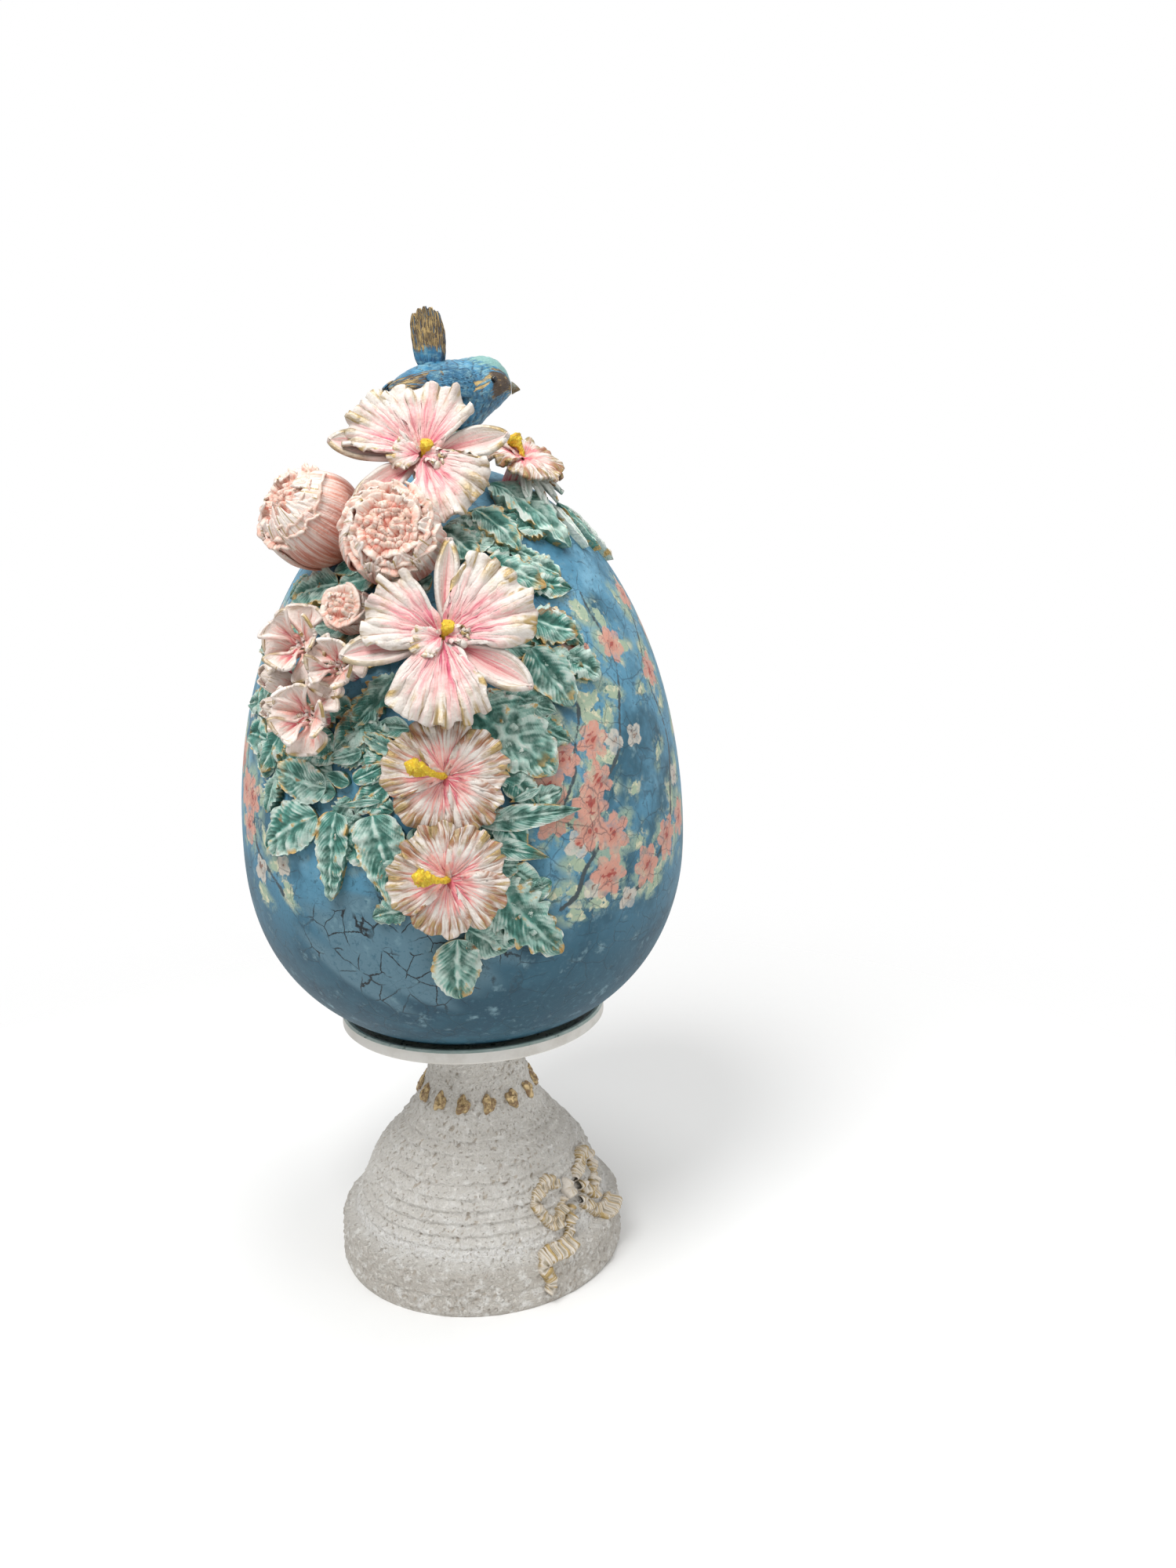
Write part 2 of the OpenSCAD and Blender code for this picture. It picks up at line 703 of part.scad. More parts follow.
// A round bloom of overlapping petals, tilted about its middle
module cupped_bud(place, tilt, turn, r, h, rings, petals, tint, sides) {
    pivot = h * bud_pivot_share;
    f = frame_at(place, tilt, pivot + skin_gap);
    angles = [for (j = [0 : sides - 1]) 360 * j / sides];
    stalk = r * bud_stalk_share;
    color(tint)
    loft(concat(
        [
            [
                for (a = angles)
                egg_at(place, stalk * cos(a + turn), stalk * sin(a + turn), skin_gap)
            ]
        ],
        [
            for (k = [0 : len(rings) - 1])
            [
                for (a = angles)
                let(s = rings[k], fold = saw(a + k * 29, 360 / petals) - 0.5)
                let(q = r * s.x * (1 + s.z * petal_overlap_share * fold * 2))
                let(z = h * (s.y + s.z * crest_share * sin(petals * 2 * a + k * 70)))
                in_frame(f, q * cos(a + turn), q * sin(a + turn), z - pivot)
            ]
        ]
    ));
}

module left_peony() {
    cupped_bud([-46.5, 52.2], [0, 12], 0, peony_r, peony_h, peony_shares, 5, "#efc3b2", 24);
}

module centre_peony() {
    cupped_bud([-15.8, 48.6], [12, 20], 30, peony_r, peony_h, peony_shares, 5, "#efbfae", 24);
}

module rosebud() {
    cupped_bud([-26.5, 38], [4, 8], 10, rosebud_r, rosebud_h, bud_shares, 3, "#f0c9b6", 16);
}

module ball_bud() {
    cupped_bud([-48.6, 28], [-4, 4], 0, rosebud_r * 0.76, rosebud_h * 0.7, ball_shares, 3, "#f0d2c4", 14);
}

module small_peony_bud() {
    cupped_bud([-46.5, 23.5], [-6, 4], 0, rosebud_r * 0.62, rosebud_h * 0.66, bud_shares, 3, "#e9b4ae", 12);
}

// Leaves

// Kinds of leaf: [belly power, tip power, tooth depth share, stations]
ROUND = [0.85, 0.55, 0.04, 6];
HEART = [0.55, 0.6, 0.03, 7];
SPEAR = [0.75, 0.9, 0, 6];
JAGGED = [0.8, 0.6, 0.17, 8];
FERN = [0.72, 0.6, 0.28, 9];

// Leaves as [node, azimuth, latitude, turn from upright, length share, width share, kind, layer, rise in layers]
leaf_shares = [
    ["leaf_dark_left", -37.6, 44, -106, 0.8, 0.86, JAGGED, 0, 0],
    ["leaf_dark_left", -46.5, 39.4, -104, 0.6, 0.24, SPEAR, 0, 0],
    ["leaf_round_left", -30, 47.5, -100, 0.4, 0.44, ROUND, 0, 0],
    ["leaf_small_dark", -55.5, 34.4, -104, 0.64, 0.46, ROUND, 0, 0],
    ["leaf_small_dark", -56.6, 27.6, -168, 0.46, 0.44, SPEAR, 0, 0],
    ["leaf_fringed_left", -44.8, 21.5, -143, 0.74, 0.76, FERN, 0, 0],
    ["leaf_fringed_left", -47.7, 13.5, -162, 0.43, 0.5, FERN, 0, 0],
    ["leaf_small_mid", -37, 21.6, 176, 0.36, 0.3, SPEAR, 0, 0],
    ["leaf_small_mid", -22.3, 18.6, -108, 0.4, 0.36, ROUND, 0, 0],
    ["leaf_gilt", -12.8, 18.4, -66, 0.52, 0.4, JAGGED, 0, 0],
    ["leaf_round_big", -31, 13.6, -84, 0.8, 0.84, ROUND, 0, 0],
    ["leaf_long_left", -25, 14.2, -78, 0.34, 0.32, SPEAR, 0, 0],
    ["leaf_mid_left", -24, 14.4, 62, 0.44, 0.36, ROUND, 0, 0],
    ["leaf_mid_left", -17.6, 11.8, -98, 0.53, 0.15, SPEAR, 0, 0],
    ["leaf_big_left", -33.5, 9.3, -118, 1, 1.02, ROUND, 0, 0],
    ["leaf_narrow", -28, 10, -172, 1.06, 0.72, HEART, 0, 0],
    ["leaf_heart", -18.8, 10, 167, 1.2, 1.06, HEART, 0, 0],
    ["leaf_right_jagged", 27, 68.5, 152, 1.3, 1.1, JAGGED, 0, 0],
    ["leaf_gilt_jagged", 10.5, 59.5, 146, 0.76, 0.74, JAGGED, 0, 0],
    ["leaf_gilt_jagged", -5, 54.5, 132, 0.66, 0.7, JAGGED, 0, 0],
    ["leaf_right_fan", 9.6, 47, 112, 0.78, 0.78, JAGGED, 0, 0],
    ["leaf_white_narrow", 57, 61.5, 176, 0.72, 0.24, SPEAR, 0, 0],
    ["leaf_green_right", 66, 62, 172, 0.8, 0.32, SPEAR, 0, 0],
    ["leaf_outline_right", 76, 61, 172, 0.9, 0.34, SPEAR, 0, 0],
    ["leaf_orchid_upper", 21, 37.5, 112, 0.62, 0.84, JAGGED, 0, 0],
    ["leaf_orchid_lower", 20, 32.8, 154, 0.8, 0.96, ROUND, 0, 0],
    ["leaf_grape", 3.4, 25.2, 136, 1.24, 1.48, JAGGED, 0, 0],
    ["leaf_long_right", 17.2, 12.6, -108, 0.36, 0.17, SPEAR, 0, 0],
    ["leaf_long_right", 3.4, 8.6, 87, 1.2, 0.5, SPEAR, 0, 0],
    ["leaf_low_right", 4, 5.8, 106, 0.78, 0.42, SPEAR, 0, 0],
    ["leaf_fern_mid", -15.8, 29, -144, 0.72, 0.7, FERN, 0, 0],
    ["leaf_fern_mid", -14, 33, -106, 0.4, 0.38, ROUND, 0, 0],
    ["leaf_bottom_right", 5.2, -0.5, 134, 1.2, 1.2, FERN, 0, 0],
    ["leaf_bottom", -2.6, -9.7, 177, 0.8, 0.96, ROUND, 0, 0]
];
leaf_names = [
    for (i = [0 : len(leaf_shares) - 1])
    if (i == 0 || leaf_shares[i][0] != leaf_shares[max(i - 1, 0)][0]) leaf_shares[i][0]
];
leaf_end_share = 0.07;
leaf_edge_t = leaf_t * 0.32;
leaf_curl = leaf_t * 0.45;

// Half width of a leaf at a share of its length
function leaf_half(s, kind, station) =
    max(pow(sin(180 * pow(s, kind[0])), kind[1]), leaf_end_share)
    * (1 + kind[2] * (station % 2 == 0 ? -1 : 1) * (s > 0.12 && s < 1 ? 1 : 0)) / 2;

// Points across a leaf, as [share of its half width, share of its curl, share of its thickness]
across_shares = [[-1, 1, 0], [-0.5, 0.3, 0.55], [0, 0, 1], [0.5, 0.3, 0.55], [1, 1, 0]];
under_leaf_shares = [[0.97, 1], [0, 0], [-0.97, 1]];

module leaf(row) {
    place = [row[1], row[2]];
    kind = row[6];
    n = kind[3];
    base = skin_gap + leaf_layer_h * row[7];
    loft([
        for (i = [0 : n])
        let(s = i / n, w = leaf_w * row[5] * leaf_half(s, kind, i), y = leaf_l * row[4] * s)
        let(h = base + leaf_layer_h * row[8] * s, c = leaf_curl * sin(180 * s), full = leaf_t * (1 - 0.5 * s))
        let(vein = i % 2 == 0 ? 0.8 : 1.15)
        [
            for (p = across_shares)
            leaf_point(place, row[3], w * p.x, y, h + c * p.y + leaf_edge_t + (full - leaf_edge_t) * p.z * vein),
            for (p = under_leaf_shares)
            leaf_point(place, row[3], w * p.x, y, h + c * p.y)
        ]
    ]);
}

function leaf_point(place, turn, x, y, h) =
    egg_at(place, x * cos(turn) + y * sin(turn), y * cos(turn) - x * sin(turn), h);

module leaf_node(name) {
    color("#4f9b8a")
    for (row = leaf_shares) {
        if (row[0] == name) leaf(row);
    }
}

// Perch and bird

perch_r = bird_w * 0.42;
// Rings of the perch under the bird on the egg's skin and above it, as shares of its radius and height
perch_skin_shares = [0.08, 0.5, 1];
perch_shares = [[0.92, 0.25], [0.74, 0.62], [0.5, 0.86], [0.3, 1]];
perch_sides = 15;
bird_z = egg_top_z + perch_h + joint_gap;
bird_bend = bird_l * 0.34;
bird_sides = 14;

// Stations of the body, as [share of the length, top, bottom (shares of the height), share of the width]
body_shares = [
    [0, 0.57, 0.42, 0.12], [0.06, 0.68, 0.28, 0.45], [0.16, 0.8, 0.15, 0.74], [0.28, 0.89, 0.06, 0.93],
    [0.42, 0.935, 0, 1], [0.56, 0.96, 0.015, 0.96], [0.68, 1, 0.1, 0.82], [0.78, 0.995, 0.26, 0.74],
    [0.87, 0.92, 0.38, 0.58], [0.93, 0.79, 0.48, 0.36], [0.955, 0.68, 0.52, 0.18]
];
bird_rest_share = 0.45;

// The bird's spine turns from the rump, which points away, to the head, seen from the side
function spine(s) = [bird_l * (s - bird_rest_share), bird_bend * (1 - (1 - s) * (1 - s) - 0.66)];
function heading(s) = atan(2 * bird_bend * (1 - s) / bird_l);
function body_at(s, k) = lookup(s, [for (p = body_shares) [p[0], p[k]]]);

// A point on the body's skin at a share of its length and an angle, raised by h
function on_bird(s, a, h) =
    let(top = body_at(s, 1) * bird_h, low = body_at(s, 2) * bird_h, w = body_at(s, 3) * bird_w / 2)
    let(x = (w + h) * cos(a), z = (top + low) / 2 + ((top - low) / 2 + h) * sin(a))
    let(p = spine(s), q = heading(s))
    [p.x + x * sin(q), p.y - x * cos(q), bird_z + z];

module perch() {
    color("#7d9f90")
    loft(concat(
        [
            for (s = perch_skin_shares)
            [
                for (j = [0 : perch_sides - 1])
                on_egg(360 * j / perch_sides, acos(perch_r * s / egg_r), seat_gap)
            ]
        ],
        [
            for (s = perch_shares)
            [
                for (j = [0 : perch_sides - 1])
                let(a = 360 * j / perch_sides, r = perch_r * s.x * (1 + 0.08 * sin(5 * a)))
                [r * sin(a), -r * cos(a), egg_top_z + perch_h * s.y]
            ]
        ]
    ));
}

eye_r = bird_h * 0.042;
eye_share = 0.79;
eye_angle = 6;

module bird_body() {
    color("#2f78a0")
    difference() {
        loft([
            for (s = body_shares)
            [for (j = [0 : bird_sides - 1]) on_bird(s[0], -360 * j / bird_sides, 0)]
        ]);
        for (a = [eye_angle, 180 - eye_angle])
            translate(on_bird(eye_share, a, 0)) sphere(r = eye_r + joint_gap, $fn = 20);
    }
}

module bird_eyes() {
    color("#15120f")
    for (a = [eye_angle, 180 - eye_angle])
        translate(on_bird(eye_share, a, 0)) sphere(r = eye_r, $fn = 20);
}

// Rings of the beak, as [share of its length, share of its root, drop as a share of its root]
beak_shares = [[0, 1, 0], [0.35, 0.72, 0.04], [0.75, 0.34, 0.16], [1, 0.08, 0.26]];
beak_l = bird_l * 0.07;
beak_root = bird_h * 0.085;

module bird_beak() {
    last = body_shares[len(body_shares) - 1];
    root = spine(last[0]);
    middle = bird_z + bird_h * (last[1] + last[2]) / 2;
    color("#8a6a3c")
    loft([
        for (s = beak_shares)
        [
            for (j = [0 : column_sides - 1])
            let(a = 360 * j / column_sides)
            [
                root.x + joint_gap + beak_l * s.x,
                root.y + beak_root * s.y * cos(a) * 0.8,
                middle + beak_root * (s.y * sin(a) - s.z)
            ]
        ]
    ]);
}

// Stations of a folded wing, as [share of the body's length, lower angle, upper angle, share of its thickness]
wing_shares = [
    [0.02, -6, 30, 0.6], [0.06, -16, 34, 0.8], [0.16, -24, 36, 1], [0.28, -26, 37, 1], [0.42, -20, 38, 1],
    [0.56, -6, 37, 0.9], [0.63, 8, 28, 0.5]
];
wing_t = bird_w * 0.07;
wing_gap = joint_gap * 1.6;
wing_steps = 3;

// A folded wing at a side: 1 is the side that faces the viewer, -1 the far side
module wing(side) {
    count = len(wing_shares);
    loft([
        for (k = [0 : count - 1])
        let(w = wing_shares[side > 0 ? k : count - 1 - k], turned = side > 0 ? 0 : 180)
        [
            for (j = [0 : wing_steps])
            let(a = w[2] + (w[1] - w[2]) * j / wing_steps, feather = j % 2 == 0 ? 0.8 : 1.1)
            on_bird(w[0], turned + side * a, wing_gap + wing_t * w[3] * feather),
            for (j = [wing_steps : -1 : 0])
            let(a = w[2] + (w[1] - w[2]) * j / wing_steps)
            on_bird(w[0], turned + side * a, wing_gap)
        ]
    ]);
}

module bird_wings() {
    color("#33607c")
    for (side = [1, -1]) wing(side);
}

// Rings of the cocked tail, as [share of its length, share of its width, share of its thickness]
tail_shares = [[0, 0.8, 1.3], [0.14, 0.82, 1], [0.45, 0.88, 0.9], [0.8, 1, 0.8], [0.95, 0.92, 0.7], [1, 0.72, 0.5]];
tail_w = bird_w * 0.46;
tail_t = bird_w * 0.16;
tail_share = 0.32;
tail_lean = -5;
tail_turn = 66;
tail_cuts = 4;

module bird_tail() {
    root = spine(tail_share);
    q = tail_turn;
    base = bird_z + bird_h * body_at(tail_share, 1) + tail_t * 0.12;
    across = [sin(q), -cos(q), 0];
    along = [cos(q), sin(q), 0];
    color("#6f5c40")
    loft([
        for (s = tail_shares)
        let(middle = [root.x, root.y, base] + tail_l * s.x * [cos(q) * sin(tail_lean), sin(q) * sin(tail_lean), cos(tail_lean)])
        [
            for (j = [0 : tail_cuts])
            middle + across * tail_w * s.y * (0.5 - j / tail_cuts) + along * tail_t * s.z * (j % 2 == 0 ? 0.4 : 0.56),
            for (j = [tail_cuts : -1 : 0])
            middle + across * tail_w * s.y * (0.5 - j / tail_cuts) - along * tail_t * s.z * (j % 2 == 0 ? 0.56 : 0.4)
        ]
    ]);
}

pedestal_foot();
gilt_drops();
ribbon_bow();
saucer();
egg_shell();
top_orchid_sepals();
top_orchid_petals();
top_orchid_column();
middle_orchid_sepals();
middle_orchid_petals();
middle_orchid_column();
upper_hibiscus();
upper_hibiscus_stamen();
lower_hibiscus();
lower_hibiscus_stamen();
back_hibiscus();
back_hibiscus_stamen();
left_peony();
centre_peony();
rosebud();
cluster_bloom_upper();
cluster_bloom_right();
cluster_bloom_lower();
ball_bud();
small_peony_bud();
perch();
bird_body();
bird_eyes();
bird_beak();
bird_wings();
bird_tail();
for (name = leaf_names) {
    leaf_node(name);
}
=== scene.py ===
"""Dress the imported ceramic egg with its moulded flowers, leaves, bird and painted skin.

Lengths are millimetres until a mesh is made, places on the egg are (azimuth, latitude) in degrees,
and every form is laid over the CAD solid that it stands for.
"""

import logging
import math
from dataclasses import dataclass
from enum import Enum
from typing import Sequence

import bpy
import numpy as np
from mathutils import Matrix


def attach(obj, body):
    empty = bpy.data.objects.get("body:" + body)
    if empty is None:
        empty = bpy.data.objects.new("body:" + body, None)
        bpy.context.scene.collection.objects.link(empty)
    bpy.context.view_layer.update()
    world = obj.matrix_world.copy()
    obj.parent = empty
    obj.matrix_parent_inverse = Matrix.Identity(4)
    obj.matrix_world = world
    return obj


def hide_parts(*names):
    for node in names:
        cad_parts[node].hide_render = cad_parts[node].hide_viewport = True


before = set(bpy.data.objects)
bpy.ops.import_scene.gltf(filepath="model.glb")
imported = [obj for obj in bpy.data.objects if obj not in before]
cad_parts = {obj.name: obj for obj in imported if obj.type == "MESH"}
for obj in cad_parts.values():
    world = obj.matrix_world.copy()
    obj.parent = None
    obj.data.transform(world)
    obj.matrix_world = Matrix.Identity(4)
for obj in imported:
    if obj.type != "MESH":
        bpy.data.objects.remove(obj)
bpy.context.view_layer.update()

MM = 0.001
LOG = logging.getLogger("ceramic_egg")
Place = tuple[float, float]
Array = np.ndarray
Tree = bpy.types.NodeTree
Socket = bpy.types.NodeSocket


# Shared tools

def linear(colour: str) -> tuple[float, float, float, float]:
    """Turn an sRGB hex colour into linear values.

    Args:
        colour: colour such as "#c9a86a".

    Returns:
        Linear red, green, blue and an alpha of 1.
    """
    parts = [int(colour[i:i + 2], 16) / 255 for i in (1, 3, 5)]
    red, green, blue = (c / 12.92 if c <= 0.04045 else ((c + 0.055) / 1.055) ** 2.4 for c in parts)
    return red, green, blue, 1.0


def add_node(tree: Tree, kind: str, values: dict | None = None, output: str | int = 0) -> Socket:
    """Add a node with its settings and links.

    Args:
        tree: node tree of the material or world.
        kind: Blender's name of the node type, after "ShaderNode".
        values: properties by name, and constants or sockets by the name or number of their input.
        output: name or number of the output that is wanted.

    Returns:
        The output's socket.
    """
    node = tree.nodes.new(f"ShaderNode{kind}")
    for name, value in (values or {}).items():
        if isinstance(value, Socket):
            tree.links.new(value, node.inputs[name])
        elif isinstance(name, str) and name in node.bl_rna.properties:
            setattr(node, name, value)
        else:
            node.inputs[name].default_value = value
    return node.outputs[output]


@dataclass(frozen=True)
class Brush:
    """One material's nodes, with the masks and coats that a finish is laid with."""

    tree: Tree
    shader: bpy.types.Node

    def add(self, kind: str, values: dict | None = None, output: str | int = 0) -> Socket:
        """Add a node with its settings and links."""
        return add_node(self.tree, kind, values, output)

    def worn(self, place: Socket, size_mm: float, low: float, high: float,
             stretch: Sequence[float] = (1, 1, 1), detail: float = 4, metres: bool = True) -> Socket:
        """Make a mask from noise, as paint that was brushed on and rubbed off.

        Args:
            place: vector that the noise is laid along.
            size_mm: size of a patch; for a vector that isn't in metres, its size in that vector's unit.
            low: noise value at which the mask is 0.
            high: noise value at which the mask is 1.
            stretch: how much finer the pattern is along each axis.
            detail: octaves of the noise.
            metres: whether the vector is in metres.

        Returns:
            Socket of the mask, from 0 to 1.
        """
        scaled = self.add("VectorMath", {"operation": "MULTIPLY", 0: place, 1: stretch})
        return self.ranged(self.add("TexNoise", {
            "Scale": (1000 if metres else 1) / size_mm, "Detail": detail, "Roughness": 0.62,
            "Vector": scaled}, "Fac"), low, high)

    def ranged(self, value: Socket, low: float, high: float, times: Socket | None = None) -> Socket:
        """Turn a value into a mask that is 0 at low and 1 at high, and may be held back by another one.

        Args:
            value: socket of the value.
            low: value at which the mask is 0.
            high: value at which the mask is 1.
            times: socket of a mask that it is multiplied by.

        Returns:
            Socket of the mask, from 0 to 1.
        """
        mask = self.add("MapRange", {"interpolation_type": "SMOOTHSTEP", "From Min": low, "From Max": high,
                                     "Value": value})
        return mask if times is None else self.add("Math", {"operation": "MULTIPLY", 0: mask, 1: times})

    def coats(self, ground: str | Socket, coats: Sequence[tuple]) -> Socket:
        """Lay coats of paint over a ground, each through its mask.

        Args:
            ground: colour of the ground, as a hex value or a socket.
            coats: mask and hex colour of each coat, and where it is thinner its share or a second mask.

        Returns:
            Socket of the colour.
        """
        below = linear(ground) if isinstance(ground, str) else ground
        for mask, colour, *share in coats:
            if share:
                mask = self.add("Math", {"operation": "MULTIPLY", 0: mask, 1: share[0]})
            below = self.add("Mix", {"data_type": "RGBA", 0: mask, 6: below, 7: linear(colour)}, 2)
        return below

    def dress(self, colour: Socket | tuple, rough: float | Socket,
              relief: tuple[Socket, float, float] | None = None, wax: Socket | None = None,
              metal: float = 0.55) -> None:
        """Set the shader's colour, gloss, fine relief and metal.

        Args:
            colour: colour of the surface.
            rough: its roughness.
            relief: height of the relief, its strength and its depth in millimetres.
            wax: mask of the metal wax.
            metal: how metallic the wax is.
        """
        inputs = {"Base Color": colour, "Roughness": rough}
        if relief:
            height, strength, depth = relief
            inputs["Normal"] = self.add("Bump", {"Strength": strength, "Distance": depth * MM,
                                                 "Height": height})
        if wax:
            inputs["Metallic"] = self.add("Math", {"operation": "MULTIPLY", 0: wax, 1: metal})
        for name, value in inputs.items():
            if isinstance(value, Socket):
                self.tree.links.new(value, self.shader.inputs[name])
            else:
                self.shader.inputs[name].default_value = value


def smooth_lookup(x: Array, xs: Sequence[float], ys: Sequence[float]) -> Array:
    """Read a table along a smooth line through its points.

    Args:
        x: where it is read.
        xs: rising places of the table.
        ys: values at these places.

    Returns:
        Values at x.
    """
    xa, ya = np.asarray(xs, float), np.asarray(ys, float)
    slope = np.gradient(ya, xa)
    x = np.clip(x, xa[0], xa[-1])
    i = np.clip(np.searchsorted(xa, x, side="right") - 1, 0, len(xa) - 2)
    step = xa[i + 1] - xa[i]
    t = (x - xa[i]) / step
    return ((1 + 2 * t) * (1 - t) ** 2 * ya[i] + t * (1 - t) ** 2 * step * slope[i]
            + t * t * (3 - 2 * t) * ya[i + 1] + t * t * (t - 1) * step * slope[i + 1])


def wander(x: Array, rng: np.random.Generator, waves: float, count: int = 4) -> Array:
    """Make a smooth line that wanders between about -1 and 1.

    Args:
        x: where it is read.
        rng: seeded random numbers.
        waves: about how many waves there are for each unit of x.
        count: number of waves that are added up.

    Returns:
        Values at x.
    """
    total = np.zeros_like(x, dtype=float)
    for _ in range(count):
        total = total + np.sin(2 * math.pi * waves * rng.uniform(0.6, 1.5) * x + rng.uniform(0, 6.3))
    return total / math.sqrt(count * 1.6)


def crumple(points: Array, size: float, seed: int, count: int = 9) -> Array:
    """Read smooth noise at points, for dents and creases in cast clay.

    Args:
        points: points in millimetres.
        size: size of a dent.
        seed: seed of the noise.
        count: number of waves that are added up.

    Returns:
        Values that mostly lie between -1 and 1.
    """
    rng = np.random.default_rng(seed)
    total = np.zeros(points.shape[:-1])
    for _ in range(count):
        way = rng.normal(size=3)
        way *= 2 * math.pi / (np.linalg.norm(way) * size * rng.uniform(0.7, 1.6))
        total = total + np.sin(points @ way + rng.uniform(0, 6.3))
    return total / math.sqrt(count * 0.8)


def smoothstep(x: Array, low: float, high: float) -> Array:
    """Rise smoothly from 0 at low to 1 at high."""
    t = np.clip((x - low) / (high - low), 0, 1)
    return t * t * (3 - 2 * t)


def span(low: float, high: float, count: int) -> Array:
    """Even steps down the rows of a grid."""
    return np.linspace(low, high, count)[:, None]


def turns(count: int) -> Array:
    """Even steps of a whole turn across the columns of a grid, in radians."""
    return np.radians(np.linspace(0, 360, count, endpoint=False))[None, :]


def grid(*axes: Array) -> Array:
    """Points out of coordinates that may still need the grid's shape."""
    return np.stack(np.broadcast_arrays(*axes), -1)


def turned(radius: Array, turn: Array, z: Array) -> Array:
    """Points round the upright axis, at angles from the front to the right."""
    return grid(radius * np.sin(turn), -radius * np.cos(turn), z)


@dataclass(frozen=True)
class Seat:
    """Origin and axes of a bloom: to the right, up along the skin, and out of it."""

    origin: Array
    right: Array
    up: Array
    out: Array

    def at(self, x: Array, y: Array, z: Array) -> Array:
        """Points at x to the right, y up and z out."""
        x, y, z = np.broadcast_arrays(x, y, z)
        return self.origin + x[..., None] * self.right + y[..., None] * self.up + z[..., None] * self.out

    def around(self, radius: Array, turn: Array, z: Array) -> Array:
        """Points at a radius, at an angle from the right, and z out."""
        return self.at(radius * np.cos(turn), radius * np.sin(turn), z)


@dataclass(frozen=True)
class EggSkin:
    """Outer skin of the egg, an ellipse above its widest ring and a fuller curve below it."""

    radius: float = 100.0
    top_h: float = 162.0
    low_h: float = 95.4
    waist_z: float = 207.1
    fullness: float = 2.3
    flat_lat: float = -75.5

    def profile(self, lat: Array) -> tuple[Array, Array]:
        """Radius and height of the skin at latitudes.

        Args:
            lat: degrees above the widest ring.

        Returns:
            Radii and heights.
        """
        angle = np.radians(np.asarray(lat, float))
        power = np.where(angle >= 0, 1.0, 2 / self.fullness)
        height = np.where(angle >= 0, self.top_h, self.low_h)
        radius = self.radius * np.clip(np.cos(angle), 0, 1) ** power
        return radius, self.waist_z + height * np.sign(angle) * np.abs(np.sin(angle)) ** power

    def step(self, lat: Array) -> tuple[Array, Array]:
        """Change of radius and height over two degrees of latitude."""
        (r0, z0), (r1, z1) = self.profile(lat - 1), self.profile(lat + 1)
        return r1 - r0, z1 - z0

    def at(self, azimuth: Array, lat: Array, height: Array) -> Array:
        """Points at an azimuth and latitude, raised along the skin's normal.

        Args:
            azimuth: degrees from the front to the right.
            lat: degrees above the widest ring.
            height: height over the skin.

        Returns:
            The points.
        """
        azimuth, lat, height = np.broadcast_arrays(*(np.asarray(v, float) for v in (azimuth, lat, height)))
        out, up = self.step(lat)
        size = np.hypot(out, up)
        r, z = self.profile(lat)
        return turned(r + height * up / size, np.radians(azimuth), z - height * out / size)

    def degree(self, lat: Array) -> Array:
        """Length of one degree of latitude along the skin."""
        return np.hypot(*self.step(lat)) / 2

    def near(self, place: Place, x: Array, y: Array, height: Array) -> Array:
        """Points x to the right and y up along the skin from a place, raised by height.

        Args:
            place: azimuth and latitude.
            x: distance to the right, along the skin.
            y: distance up, along the skin.
            height: height over the skin.

        Returns:
            The points.
        """
        middle = place[1] + y / self.degree(place[1]) / 2
        lat = place[1] + y / self.degree(middle)
        return self.at(place[0] + np.degrees(x / np.maximum(self.profile(lat)[0], 1)), lat, height)

    def seat(self, place: Place, tilt: tuple[float, float], lift: float) -> Seat:
        """Seat at a height over a place, tilted to the right and downwards.

        Args:
            place: azimuth and latitude.
            tilt: degrees to the right and downwards.
            lift: height over the skin.

        Returns:
            The seat's origin and axes.
        """
        azimuth, lat = place
        turn = math.radians(azimuth)
        right = np.array([math.cos(turn), math.sin(turn), 0])
        out = self.at(azimuth, lat, 1.0) - self.at(azimuth, lat, 0.0)
        up = np.cross(out, right)
        side, down = (math.radians(v) for v in tilt)
        out_d = out * math.cos(down) - up * math.sin(down)
        up_d = up * math.cos(down) + out * math.sin(down)
        return Seat(self.at(azimuth, lat, lift), right * math.cos(side) - out_d * math.sin(side), up_d,
                    out_d * math.cos(side) + right * math.sin(side))


SKIN = EggSkin()


@dataclass
class Sheet:
    """A grid of points with the fields that its paint is laid by.

    The field marks holds (along, across, seed), and ridge how high the relief is, from about -1 to 1.
    """

    points: Array
    fields: dict[str, Array]
    ring: bool = False

    @classmethod
    def of(cls, points: Array, along: Array, across: Array, seed: float, ridge: Array,
           ring: bool = False, **fields: Array) -> "Sheet":
        """Build a sheet from arrays that may still need the grid's shape.

        Args:
            points: grid of points.
            along: mark along the form, mostly the share from its root to its tip.
            across: mark across it, mostly from -1 to 1 from side to side.
            seed: number that sets its paint apart from others'.
            ridge: how high the relief is, from about -1 to 1.
            ring: whether its last column joins its first.
            fields: further values by name.

        Returns:
            The sheet.
        """
        shape = points.shape[:2]
        fields = {key: np.broadcast_to(values, shape) for key, values in {"ridge": ridge, **fields}.items()}
        return cls(points, {"marks": grid(along, across, np.full(shape, float(seed))), **fields}, ring)


